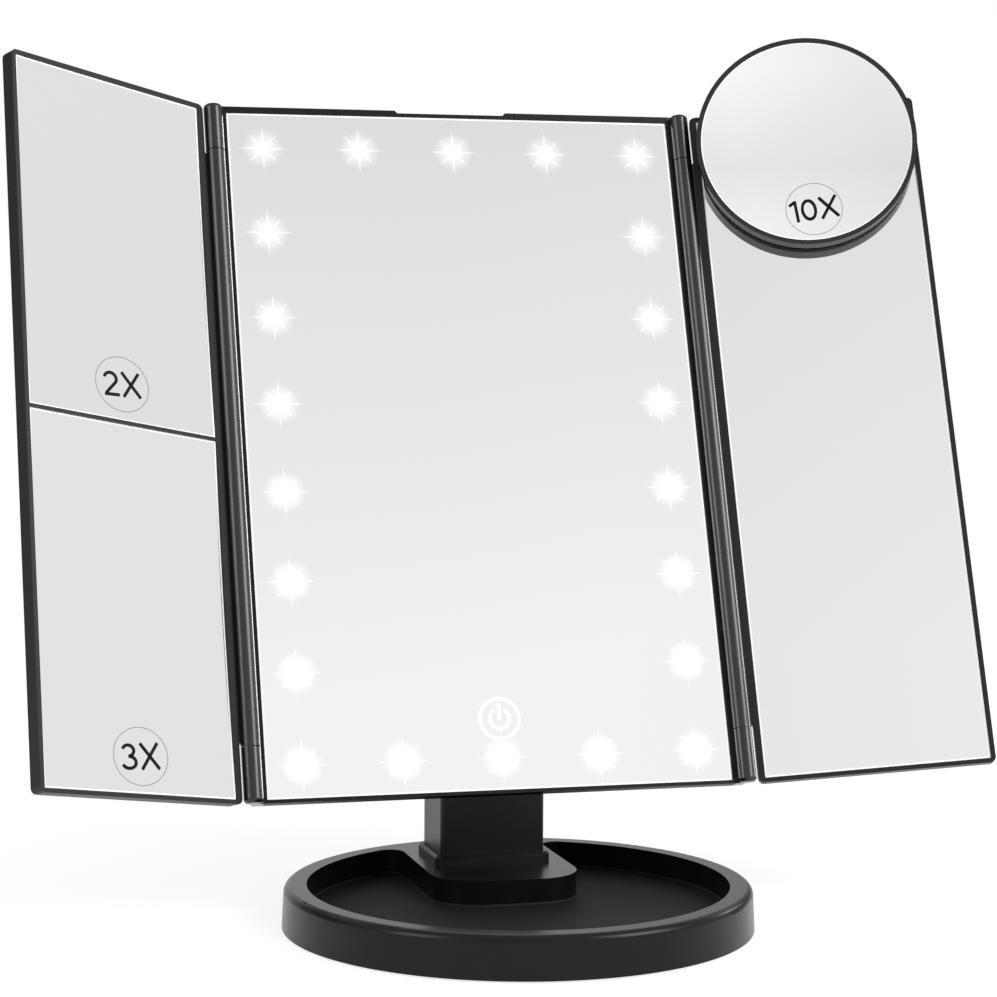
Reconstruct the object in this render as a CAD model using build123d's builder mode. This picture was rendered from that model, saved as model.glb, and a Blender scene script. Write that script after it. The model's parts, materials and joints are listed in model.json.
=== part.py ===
from build123d import *
from math import cos, hypot, radians, sin
import os

# Trifold vanity mirror on a round tray base.
#
# Millimetres. +X is to the right of the person who uses it, -Y is towards them, +Z is up.
# The origin is the middle of the base's underside, on the table.
#
# The lit centre panel leans back on a tilt hinge at the top of a short neck. Two wings fold on
# long barrel hinges at its sides: the left one carries two magnifying mirrors, the right one a
# plain mirror with a round magnifier held on it by suction cups.
#
# Three kinds of plane carry nearly everything:
#   panel   x across, y up the centre glass, z out of its front face
#   wing    x from the hinge axis (negative on the left), y up, z out of the wing's front
#   lens    centred on the round magnifier, z out of its front

# ------------------------------------------------------------------ general fits
seat_gap = 0.1            # between a glass or a plate and the frame around it
running_gap = 0.05        # radial, between a pin and the bore that turns on it
moving_gap = 0.4          # between a turning barrel and what it passes
seam_gap = 0.3            # between the ends of two hinge barrels

# ------------------------------------------------------------------ base
rim_radius = 76.6         # outer edge of the tray's rim
skirt_radius = 77.3       # the outer wall flares a little towards the table
base_height = 14.3
skirt_gap = 0.6           # the wall's lower edge stands clear of the table
rim_width = 7.4
rim_round = 2.4           # rounding of the rim's outer edge
floor_fillet = 0.8        # tray floor into tray wall
base_wall = 1.8
tray_floor = 2.2
pad_thickness = 2.0
pad_radius = 70.0
plate_thickness = 1.6
platform_half = 25.0      # raised tongue that carries the neck
platform_front = 3.0
platform_corner = 16.0
pocket_corner = 5.0       # acute tray corners beside the tongue
plate_screw_count = 6
plate_screw_radius = 1.0
plate_screw_head = 1.9
plate_screw_length = 6.5
plate_overlap = 0.6       # steel plate past the channel under the rim

# ------------------------------------------------------------------ neck
neck_width = 36.2
neck_front = 29.0         # middle of its front, which bulges
neck_bulge = 3.0
neck_back = 57.5
neck_shoulder = 46.3      # height of the full-width part
neck_corner = 2.0
neck_wall = 2.4
neck_foot_height = 3.2    # raised band round the foot
neck_foot_proud = 1.9
neck_shoulder_chamfer = 2.0
neck_screw_radius = 1.4
neck_screw_head = 2.8
neck_screw_head_height = 2.0
neck_screw_length = 14.0
neck_screw_spacing = 18.0
neck_boss_radius = 3.4
cover_screw_radius = 1.0
cover_screw_head = 1.9
cover_screw_length = 7.0
cover_screw_margin = 1.0  # its boss stays this far inside the cover's end

# ------------------------------------------------------------------ tilt hinge
tilt_axis_y = 44.5
tilt_axis_z = 55.5
tilt_angle = 19.2         # how far the centre panel leans back
tilt_above_glass_foot = 22.0
tilt_behind_glass = 22.0
tilt_barrel_radius = 8.0
tilt_barrel_half = 10.6
washer_thickness = 0.6
washer_radius = 7.0
ear_thickness = 5.0
bracket_plate = 2.4       # bracket's plate on the back of the centre panel
bracket_half = 25.0
bracket_low = 10.0        # plate below and above the axis
bracket_high = 15.0
bracket_corner = 3.0
ear_root_low = 8.0        # the ear's root on the plate, below and above the axis
ear_root_high = 13.0
bracket_screw_radius = 1.2
bracket_screw_head = 2.3
bracket_screw_head_height = 1.6
bracket_screw_inset = 3.6 # from the plate's edges
bracket_boss_radius = 2.6
bolt_radius = 2.5
bolt_head_radius = 4.4
bolt_head_height = 3.0
bolt_head_chamfer = 1.0
nut_across_flats = 8.0
nut_height = 4.0

# ------------------------------------------------------------------ centre panel
glass_width = 160.4
glass_height = 240.0
glass_thickness = 2.0
lip = 0.5                 # frame's front face proud of the glass
stile = 1.0               # side wall of the centre frame
bottom_rail = 1.3
top_rail = 1.3
top_lip = 1.0             # raised lip on the top rail, left out at the finger notch
notch_half = 20.2
frame_depth = 4.6         # behind the glass's front face
ledge = 3.0               # behind the glass's edge
housing_depth = 9.0       # back of the flat housing, behind the glass's front face
housing_wall = 1.6
housing_inset = 1.2       # housing's outline inside the front frame's
housing_round = 2.0
gusset = 8.0              # screw gussets in the corners of the frame
panel_screw_radius = 0.9
panel_screw_head = 2.0
panel_screw_head_height = 1.3
panel_boss_radius = 2.6
panel_screw_inset = 3.4   # from the ledge's inner corner
panel_screw_bite = 1.8    # into the front frame
panel_screw_spare = 0.3   # pilot hole past the screw's tip

# ------------------------------------------------------------------ hinge columns
barrel_radius = 3.3
hinge_proud = 1.4         # hinge axis in front of the glass
low_knuckle_top = 17.1    # measured from the foot of the glass
high_knuckle_drop = 14.7  # foot of the upper knuckles, below the top of the glass
web_setback = 1.0         # web stops short of the barrel's ends
web_sweep = 1.2           # how steeply the web's curve leaves the bezel
knuckle_round = 1.5
pin_radius = 1.0
pin_grip = 14.0           # pin in the centre panel's knuckle
pin_reach = 12.0          # pin in the wing's barrel
pin_hole_spare = 0.6

# ------------------------------------------------------------------ wings
left_fold_angle = 31.9    # forward of flat
right_fold_angle = 17.5
near_bezel = 2.4
slot_width = 0.6          # between a knuckle and the wing's bezel
far_bezel = 1.7
closing_gap = 0.2         # each wing ends this far short of the middle when closed
wing_rail = 1.6
wing_depth = 4.2          # wing frame, front to back
wing_ledge = 2.5
wing_cover = 1.4
wing_cover_round = 0.9
wing_cover_rim = 1.2
wing_corner = 2.0
divider_width = 1.2       # bar between the two left mirrors
upper_pane_height = 118.4 # upper of the two left mirrors
tape_width = 10.0
tape_thickness = 1.4
tape_margin = 20.0        # each strip stops short of the glass's ends
upper_mirror_dish = 0.7   # how deep the two magnifying mirrors are hollowed
lower_mirror_dish = 0.9
dish_margin = 1.0         # the hollow reaches this far past the glass's corners

# ------------------------------------------------------------------ lights and electronics
led_columns = 5
led_rows = 8
led_side_inset = 12.2     # LED centres from the glass's edges
led_foot_inset = 10.8
led_top_inset = 12.9
led_size = 3.2
led_height = 1.2
board_width = 15.0
board_thickness = 1.0
board_depth = 6.4         # back of the LED board behind the glass's front face
board_margin = 0.3
diffuser_thickness = 0.8
touch_height = 24.0       # touch switch above the foot of the glass
touch_radius = 5.6
touch_thickness = 0.6
standoff_shares = (0.25, 0.75)  # LED board's posts, up the glass

# ------------------------------------------------------------------ battery box
cell_radius = 5.2         # AAA cells
cell_length = 43.3
cell_nub_radius = 1.9
cell_nub_length = 1.2
cell_pitch = 11.3
cell_count = 4
cell_slack = 0.2          # room round each cell
spring_length = 4.4
contact_thickness = 0.4
contact_size = 8.0
box_wall = 3.2
box_floor = 1.2
box_floor_depth = 5.5     # compartment floor behind the glass's front face
box_foot = 70.0           # compartment's lower wall above the foot of the glass
box_draft = 8.0
box_round = 1.6
door_thickness = 1.6
door_overlap = 1.2        # door's seat round the compartment
door_rail = 1.2
door_rail_thickness = 0.8
door_gap = 0.2
door_ridges = 4
door_ridge_length = 14.0
door_ridge_width = 1.0
door_ridge_pitch = 2.4
door_ridge_inset = 8.0
pod_width = 46.0          # pod for the socket and the switch
pod_height = 16.0
pod_depth = 5.0
pod_wall = 1.6
pod_round = 1.2
socket_width = 7.6
socket_height = 2.7
socket_depth = 5.2
socket_round = 0.9
socket_tongue = 0.7
switch_travel = 3.0
switch_knob = 5.0
switch_knob_width = 2.4
switch_proud = 1.2
switch_body_depth = 4.0
switch_body_overlap = 1.0 # past each end of the slot

# ------------------------------------------------------------------ round magnifier
lens_along = 44.6         # its centre, from the hinge axis
lens_drop = 13.9          # below the top of the wing's glass
lens_radius = 39.4
lens_rim = 1.6
lens_depth = 6.4
lens_taper = 0.4
lens_wall = 1.4
lens_back_round = 1.2
lens_standoff = 1.4       # back of the cup off the wing's glass
lens_glass_thickness = 1.5
lens_glass_recess = 0.4
lens_sag = 2.6            # hollow of the concave glass
cup_radius = 8.0
cup_lift = 0.25
cup_stem_radius = 2.4
cup_lip = 0.5             # height and width of the cup's flat edge
cup_head_radius = 3.4
cup_head_height = 0.9
cup_side = 19.0
cup_high = 4.0
cup_low = -20.0

# ------------------------------------------------------------------ sizes that follow
glass_half = glass_width / 2
high_knuckle_foot = glass_height - high_knuckle_drop
divider_centre = glass_height - upper_pane_height - divider_width / 2
led_side = glass_half - led_side_inset
led_low = led_foot_inset
led_high = glass_height - led_top_inset
lens_up = glass_height - lens_drop
stile_inner = glass_half + seat_gap
frame_half = stile_inner + stile
hinge_half = frame_half + moving_gap + barrel_radius
frame_foot = -bottom_rail
rail_top = glass_height + top_rail
lip_top = rail_top + top_lip
housing_half = frame_half - housing_inset
housing_tall = rail_top - frame_foot - 2 * housing_inset
wing_near = barrel_radius + slot_width
wing_glass_near = wing_near + near_bezel
wing_far = hinge_half - closing_gap
wing_glass_far = wing_far - far_bezel
wing_foot = -wing_rail
wing_top = glass_height + wing_rail
wing_front = lip - hinge_proud            # wing bezel's front face, from the hinge axis
wing_glass_front = -hinge_proud
wing_back = wing_front - wing_depth
plate_top = pad_thickness + plate_thickness
floor_top = plate_top + tray_floor
rim_inner = rim_radius - rim_width
channel_inner = rim_inner + base_wall
channel_outer = rim_radius - base_wall - seat_gap
plate_radius = channel_outer + plate_overlap
plate_screw_ring = (channel_inner + channel_outer) / 2
neck_middle = (neck_front + neck_back) / 2
box_long = cell_length + cell_nub_length + spring_length + 2 * contact_thickness + cell_slack
box_tall = cell_count * cell_pitch + cell_slack
box_centre = box_foot + box_tall / 2
door_inner = box_floor_depth + 2 * (cell_radius + cell_slack)
door_outer = door_inner + door_thickness
door_half = box_long / 2 + door_overlap
door_top = box_foot + box_tall + door_overlap
bulge_foot = box_foot - box_wall
bulge_top = box_foot + box_tall + box_wall
bulge_half = box_long / 2 + box_wall
pod_top = bulge_foot
pod_foot = pod_top - pod_height
pod_back = housing_depth + pod_depth
pod_middle = (pod_top + pod_foot) / 2

# ------------------------------------------------------------------ planes
lean_back = radians(tilt_angle)
tilt_plane = Plane(
    origin=(0, tilt_axis_y, tilt_axis_z),
    x_dir=(1, 0, 0),
    z_dir=(0, -cos(lean_back), sin(lean_back)),
)


def placed(plane, x=0, y=0, z=0, turn=(0, 0, 0)):
    """The plane moved to that point of itself and turned about its own axes."""
    return Plane(plane.location * Location((x, y, z), turn))


panel = placed(tilt_plane, 0, -tilt_above_glass_foot, tilt_behind_glass)
panel_side = Plane(origin=tilt_plane.origin, x_dir=panel.y_dir, z_dir=panel.x_dir)
LEFT, RIGHT = -1, 1
fold_angle = {LEFT: left_fold_angle, RIGHT: right_fold_angle}
wing_plane = {
    side: placed(panel, side * hinge_half, 0, hinge_proud, (0, -side * fold_angle[side], 0))
    for side in (LEFT, RIGHT)
}
lens = placed(wing_plane[RIGHT], lens_along, lens_up, wing_glass_front + lens_standoff)
side_name = {LEFT: "left", RIGHT: "right"}


def section(plane, x, y, z=0):
    """Plane across the panel or wing at that point: x along it, y towards its back, z up it."""
    return placed(plane, x, y, z, (-90, 0, 0))


def lathe(plane, x=0, y=0, z=0):
    """Plane through the normal at that point: x is the radius, y the height above the point."""
    return placed(plane, x, y, z, (90, 0, 0))


def screw(seat, head_radius, head_height, radius, length):
    """Pan-head screw: seat is under the head, its z runs along the shank to the tip."""
    with BuildPart() as fastener:
        with BuildSketch(seat):
            Circle(head_radius)
        extrude(amount=-head_height)
        with BuildSketch(seat):
            Circle(radius)
        extrude(amount=length)
    return fastener.part


def write(piece, name):
    piece.label = name
    export_step(piece, f"parts/{name}.step")


def write_group(pieces, name):
    write(Compound(children=pieces), name)


os.makedirs("parts", exist_ok=True)

# =================================================================== base
with BuildPart() as anti_slip_pad:
    with BuildSketch():
        Circle(pad_radius)
    extrude(amount=pad_thickness)
write(anti_slip_pad.part, "anti_slip_pad")

plate_countersink = plate_screw_head - plate_screw_radius
with BuildPart() as base_plate:
    with BuildSketch(Plane.XY.offset(pad_thickness)):
        Circle(plate_radius)
    extrude(amount=plate_thickness)
    with BuildSketch(Plane.XY.offset(pad_thickness)):
        with PolarLocations(plate_screw_ring, plate_screw_count):
            Circle(plate_screw_radius + running_gap)
    extrude(amount=plate_thickness, mode=Mode.SUBTRACT)
    with BuildSketch(Plane.XY.offset(pad_thickness)):
        with PolarLocations(plate_screw_ring, plate_screw_count):
            Circle(plate_screw_head + running_gap)
    extrude(amount=plate_countersink, taper=45, mode=Mode.SUBTRACT)
write(base_plate.part, "base_plate")

plate_screws = []
for spot in PolarLocations(plate_screw_ring, plate_screw_count).locations:
    seat = Plane(origin=spot.position + Vector(0, 0, pad_thickness))
    with BuildPart() as plate_screw:
        with BuildSketch(seat):
            Circle(plate_screw_head)
        extrude(amount=plate_countersink, taper=45)
        with BuildSketch(seat):
            Circle(plate_screw_radius)
        extrude(amount=plate_screw_length)
    plate_screws.append(plate_screw.part)
write_group(plate_screws, "base_plate_screws")

# The tray: a shallow round dish whose floor rises at the back into a flat tongue, flush with the
# rim, that carries the neck. Rim and tongue are hollow underneath.
tongue_length = rim_radius - platform_front
with BuildPart() as base_dish:
    with BuildSketch(Plane.XZ):
        with BuildLine():
            Polyline(
                (0, skirt_gap),
                (skirt_radius, skirt_gap),
                (rim_radius, base_height),
                (0, base_height),
                close=True,
            )
        make_face()
    revolve(axis=Axis.Z)
    fillet(base_dish.faces().sort_by(Axis.Z)[-1].edges(), rim_round)
    with BuildSketch(Plane.XY.offset(base_height)) as tray_outline:
        Circle(rim_inner)
        with BuildSketch(mode=Mode.PRIVATE) as tongue:
            with Locations((0, platform_front + tongue_length / 2)):
                Rectangle(2 * platform_half, tongue_length)
            fillet(tongue.vertices().group_by(Axis.Y)[0], platform_corner)
        add(tongue.sketch, mode=Mode.SUBTRACT)
        fillet(tray_outline.vertices().group_by(Axis.Y)[-1], pocket_corner)
    extrude(amount=floor_top - base_height, mode=Mode.SUBTRACT)
    fillet(base_dish.faces().filter_by(Plane.XY).group_by(Axis.Z)[-2].edges(), floor_fillet)
    with BuildSketch(Plane.XY.offset(skirt_gap)):
        Circle(plate_radius + seat_gap)
    extrude(amount=plate_top - skirt_gap, mode=Mode.SUBTRACT)
    with BuildSketch(Plane.XY.offset(plate_top)):
        Circle(channel_outer)
        Circle(channel_inner, mode=Mode.SUBTRACT)
    extrude(amount=base_height - base_wall - plate_top, mode=Mode.SUBTRACT)
    with BuildSketch(Plane.XY.offset(plate_top)) as tongue_cavity:
        cavity_front = platform_front + base_wall
        cavity_back = rim_inner - base_wall - pocket_corner
        with Locations((0, (cavity_front + cavity_back) / 2)):
            Rectangle(2 * (platform_half - base_wall), cavity_back - cavity_front)
        fillet(tongue_cavity.vertices().group_by(Axis.Y)[0], platform_corner - base_wall)
    extrude(amount=base_height - base_wall - plate_top, mode=Mode.SUBTRACT)
    with BuildSketch(Plane.XY.offset(plate_top)):
        with PolarLocations(plate_screw_ring, plate_screw_count):
            Circle((channel_outer - channel_inner) / 2 + base_wall / 4)
    extrude(amount=base_height - base_wall - plate_top)
    with BuildSketch(Plane.XY.offset(plate_top)):
        with PolarLocations(plate_screw_ring, plate_screw_count):
            Circle(plate_screw_radius + running_gap)
    extrude(amount=plate_screw_length, mode=Mode.SUBTRACT)
    with BuildSketch(Plane.XY.offset(base_height)):
        with Locations((0, neck_middle)):
            with GridLocations(neck_screw_spacing, 0, 2, 1):
                Circle(neck_screw_radius + running_gap)
    extrude(amount=-base_wall, mode=Mode.SUBTRACT)
write(base_dish.part, "base_dish")

# =================================================================== neck
neck_depth = neck_back - neck_front
cover_width = neck_width - 2 * neck_wall
cover_foot = base_height + neck_foot_height + neck_wall
cover_top = neck_shoulder - neck_shoulder_chamfer - neck_wall
cover_height = cover_top - cover_foot
cover_middle = (cover_top + cover_foot) / 2
cover_screw_inset = neck_boss_radius + cover_screw_margin
cover_screw_offset = cover_height / 2 - cover_screw_inset
hollow_back = neck_back - neck_wall
foot_plane = placed(Plane.XY, 0, neck_middle, base_height)
hollow_front = neck_front + neck_bulge + neck_wall


def neck_outline(margin=0):
    """The neck seen from above, that much larger all round: flat sides and back, bulging front."""
    half = neck_width / 2 + margin
    deep = neck_depth / 2 + margin
    with BuildSketch() as outline:
        with BuildLine():
            Polyline(
                (-half, neck_bulge - deep),
                (-half, deep),
                (half, deep),
                (half, neck_bulge - deep),
            )
            ThreePointArc((half, neck_bulge - deep), (0, -deep), (-half, neck_bulge - deep))
        make_face()
        fillet(outline.vertices(), neck_corner + margin)
    return outline.sketch


with BuildPart() as neck_post:
    with BuildSketch(foot_plane):
        add(neck_outline())
    extrude(amount=neck_shoulder - base_height)
    chamfer(neck_post.faces().sort_by(Axis.Z)[-1].edges(), neck_shoulder_chamfer)
    # band round the foot
    with BuildSketch(foot_plane):
        add(neck_outline(neck_foot_proud))
    extrude(amount=neck_foot_height)
    chamfer(
        neck_post.faces().filter_by(Plane.XY).sort_by(Axis.Z)[1].outer_wire().edges(),
        neck_foot_proud / 2,
    )
    # hinge barrel on a tapering root
    with BuildSketch(Plane.YZ.offset(-tilt_barrel_half)):
        with Locations((tilt_axis_y, tilt_axis_z)):
            Circle(tilt_barrel_radius)
        with BuildLine():
            Polyline(
                (tilt_axis_y - tilt_barrel_radius, tilt_axis_z),
                (hollow_front, neck_shoulder),
                (hollow_front, neck_shoulder - neck_wall),
                (neck_back - neck_shoulder_chamfer, neck_shoulder - neck_wall),
                (neck_back - neck_shoulder_chamfer, neck_shoulder),
                (tilt_axis_y + tilt_barrel_radius, tilt_axis_z),
                close=True,
            )
        make_face()
    extrude(amount=2 * tilt_barrel_half)
    # hollow, open towards the cover at the back
    with BuildSketch(Plane.XY.offset(base_height + neck_wall)):
        with Locations((0, (hollow_front + hollow_back) / 2)):
            Rectangle(cover_width, hollow_back - hollow_front)
    extrude(amount=cover_top - base_height - neck_wall, mode=Mode.SUBTRACT)
    with BuildSketch(Plane.XZ.offset(-hollow_back)):
        with Locations((0, cover_middle)):
            Rectangle(cover_width, cover_height)
    extrude(amount=-neck_wall, mode=Mode.SUBTRACT)
    # bosses for the screws from the tray and for the cover's screws
    with BuildSketch(foot_plane):
        with GridLocations(neck_screw_spacing, 0, 2, 1):
            Circle(neck_boss_radius)
    extrude(amount=neck_screw_length)
    with BuildSketch(foot_plane):
        with GridLocations(neck_screw_spacing, 0, 2, 1):
            Circle(neck_screw_radius + running_gap)
    extrude(amount=neck_screw_length - neck_wall, mode=Mode.SUBTRACT)
    with BuildSketch(Plane.XZ.offset(-neck_front - neck_wall / 2)):
        with Locations((0, cover_middle + cover_screw_offset)):
            Circle(neck_boss_radius)
    extrude(amount=-(hollow_back - neck_front - neck_wall / 2))
    with BuildSketch(Plane.XZ.offset(-hollow_back)):
        with Locations((0, cover_middle + cover_screw_offset)):
            Circle(cover_screw_radius + running_gap)
    extrude(amount=cover_screw_length, mode=Mode.SUBTRACT)
    # bore for the tilt bolt
    with BuildSketch(Plane.YZ.offset(-tilt_barrel_half)):
        with Locations((tilt_axis_y, tilt_axis_z)):
            Circle(bolt_radius + running_gap)
    extrude(amount=2 * tilt_barrel_half, mode=Mode.SUBTRACT)
write(neck_post.part, "neck_post")

cover_recess = neck_wall / 2
with BuildPart() as neck_back_cover:
    with BuildSketch(Plane.XZ.offset(-hollow_back)):
        with Locations((0, cover_middle)):
            Rectangle(cover_width - 2 * seat_gap, cover_height - 2 * seat_gap)
    extrude(amount=-neck_wall)
    with BuildSketch(Plane.XZ.offset(-neck_back)):
        with Locations((0, cover_middle + cover_screw_offset)):
            Circle(cover_screw_head + seat_gap)
    extrude(amount=cover_recess, mode=Mode.SUBTRACT)
    with BuildSketch(Plane.XZ.offset(-neck_back)):
        with Locations((0, cover_middle + cover_screw_offset)):
            Circle(cover_screw_radius + seat_gap)
    extrude(amount=neck_wall, mode=Mode.SUBTRACT)
write(neck_back_cover.part, "neck_back_cover")

cover_screw_seat = Plane(
    origin=(0, neck_back - cover_recess, cover_middle + cover_screw_offset), z_dir=(0, -1, 0)
)
write(
    screw(cover_screw_seat, cover_screw_head, cover_recess - seat_gap, cover_screw_radius,
          cover_screw_length - seat_gap),
    "neck_cover_screw",
)

neck_screws = [
    screw(
        Plane(origin=(side * neck_screw_spacing / 2, neck_middle, base_height - base_wall)),
        neck_screw_head,
        neck_screw_head_height,
        neck_screw_radius,
        neck_screw_length - neck_wall,
    )
    for side in (LEFT, RIGHT)
]
write_group(neck_screws, "neck_screws")

# =================================================================== tilt hinge
ear_inner = tilt_barrel_half + washer_thickness + seat_gap
ear_outer = ear_inner + ear_thickness
bolt_seat = ear_outer + seat_gap

washers = []
for side in (LEFT, RIGHT):
    middle = side * (tilt_barrel_half + seat_gap / 2 + washer_thickness / 2)
    with BuildPart() as washer:
        with BuildSketch(panel_side.offset(middle)):
            Circle(washer_radius)
            Circle(bolt_radius + running_gap, mode=Mode.SUBTRACT)
        extrude(amount=washer_thickness / 2, both=True)
    washers.append(washer.part)
write_group(washers, "friction_washers")

bolt_end = bolt_seat + nut_height + seam_gap
with BuildPart() as tilt_bolt:
    with BuildSketch(panel_side.offset(-bolt_seat)):
        Circle(bolt_head_radius)
    extrude(amount=-bolt_head_height)
    chamfer(tilt_bolt.faces().sort_by(Axis.X)[0].edges(), bolt_head_chamfer)
    with BuildSketch(panel_side.offset(-bolt_seat)):
        Circle(bolt_radius)
    extrude(amount=bolt_seat + bolt_end)
write(tilt_bolt.part, "tilt_bolt")

with BuildPart() as tilt_nut:
    with BuildSketch(panel_side.offset(bolt_seat)):
        RegularPolygon(nut_across_flats / 2, 6, major_radius=False)
        Circle(bolt_radius + running_gap, mode=Mode.SUBTRACT)
    extrude(amount=nut_height)
write(tilt_nut.part, "tilt_nut")

# =================================================================== centre panel
ledge_half = stile_inner - ledge
ledge_foot = ledge - seat_gap
ledge_top = glass_height - ledge + seat_gap
middle_height = glass_height / 2
screw_spots = [
    (side * (ledge_half - panel_screw_inset / 2), height)
    for side in (LEFT, RIGHT)
    for height in (ledge_foot + panel_screw_inset / 2, ledge_top - panel_screw_inset / 2)
]

with BuildPart() as centre_front_frame:
    with BuildSketch(panel.offset(-frame_depth)):
        with BuildLine():
            Polyline(
                (-frame_half, frame_foot),
                (frame_half, frame_foot),
                (frame_half, lip_top),
                (notch_half, lip_top),
                (notch_half - top_lip, rail_top),
                (-notch_half + top_lip, rail_top),
                (-notch_half, lip_top),
                (-frame_half, lip_top),
                close=True,
            )
        make_face()
    extrude(amount=frame_depth + lip)
    # each hinge column: a cradle round the back of the wing's barrel, and a knuckle at both ends
    for side in (LEFT, RIGHT):
        hinge = placed(panel, side * hinge_half, 0, hinge_proud)
        with BuildSketch(panel.offset(-frame_depth)):
            with Locations((side * (frame_half + hinge_half) / 2, (frame_foot + lip_top) / 2)):
                Rectangle(hinge_half - frame_half, lip_top - frame_foot)
        extrude(amount=frame_depth + lip)
        with BuildSketch(section(panel, side * hinge_half, low_knuckle_top, hinge_proud)):
            Circle(barrel_radius + moving_gap)
        extrude(amount=high_knuckle_foot - low_knuckle_top, mode=Mode.SUBTRACT)
        for foot, top, outer in ((frame_foot, low_knuckle_top, 0), (high_knuckle_foot, lip_top, -1)):
            with BuildSketch(hinge) as knuckle:
                with Locations((barrel_radius / 2, (foot + top) / 2)):
                    Rectangle(barrel_radius, top - foot)
                end_corner = knuckle.vertices().group_by(Axis.Y)[outer].sort_by(Axis.X)[-1]
                fillet(end_corner, knuckle_round)
            revolve(axis=Axis(hinge.origin, hinge.y_dir))
    # glass seat, then the opening inside the ledge
    with BuildSketch(panel.offset(lip)):
        with Locations((0, middle_height)):
            Rectangle(2 * stile_inner, glass_height + 2 * seat_gap)
    extrude(amount=-lip - glass_thickness, mode=Mode.SUBTRACT)
    with BuildSketch(panel.offset(-glass_thickness)) as ledge_opening:
        with Locations((0, middle_height)):
            Rectangle(2 * ledge_half, ledge_top - ledge_foot)
        chamfer(ledge_opening.vertices(), gusset)
    extrude(amount=-frame_depth, mode=Mode.SUBTRACT)
    # blind holes for the hinge pins
    for side in (LEFT, RIGHT):
        hole_depth = pin_grip + pin_hole_spare
        for start in (low_knuckle_top - hole_depth, high_knuckle_foot):
            with BuildSketch(section(panel, side * hinge_half, start, hinge_proud)):
                Circle(pin_radius + running_gap)
            extrude(amount=hole_depth, mode=Mode.SUBTRACT)
    # pilot holes for the housing's screws
    with BuildSketch(panel.offset(-frame_depth)):
        with Locations(*screw_spots):
            Circle(panel_screw_radius + running_gap)
    extrude(amount=panel_screw_bite + panel_screw_spare, mode=Mode.SUBTRACT)
write(centre_front_frame.part, "centre_front_frame")

with BuildPart() as centre_mirror:
    with BuildSketch(panel):
        with Locations((0, middle_height)):
            Rectangle(glass_width, glass_height)
    extrude(amount=-glass_thickness)
write(centre_mirror.part, "centre_mirror")


def battery_rows():
    """Height of each cell's axis on the panel, from the lowest up."""
    first = box_foot + box_tall / 2 - cell_pitch * (cell_count - 1) / 2
    return [first + cell_pitch * row for row in range(cell_count)]


bracket_pad_depth = board_depth + board_margin
bracket_middle = tilt_above_glass_foot + (bracket_high - bracket_low) / 2
bracket_screw_spots = [
    (side * (bracket_half - bracket_screw_inset), height)
    for side in (LEFT, RIGHT)
    for height in (
        tilt_above_glass_foot - bracket_low + bracket_screw_inset,
        tilt_above_glass_foot + bracket_high - bracket_screw_inset,
    )
]
standoff_spots = [
    (side * (ledge_half - board_width / 2), glass_height * share)
    for side in (LEFT, RIGHT)
    for share in standoff_shares
]
pod_inner_depth = pod_back - pod_wall
socket_axis_depth = pod_inner_depth - seam_gap - socket_height / 2
switch_slot = switch_knob + switch_travel + 2 * door_gap

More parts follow.
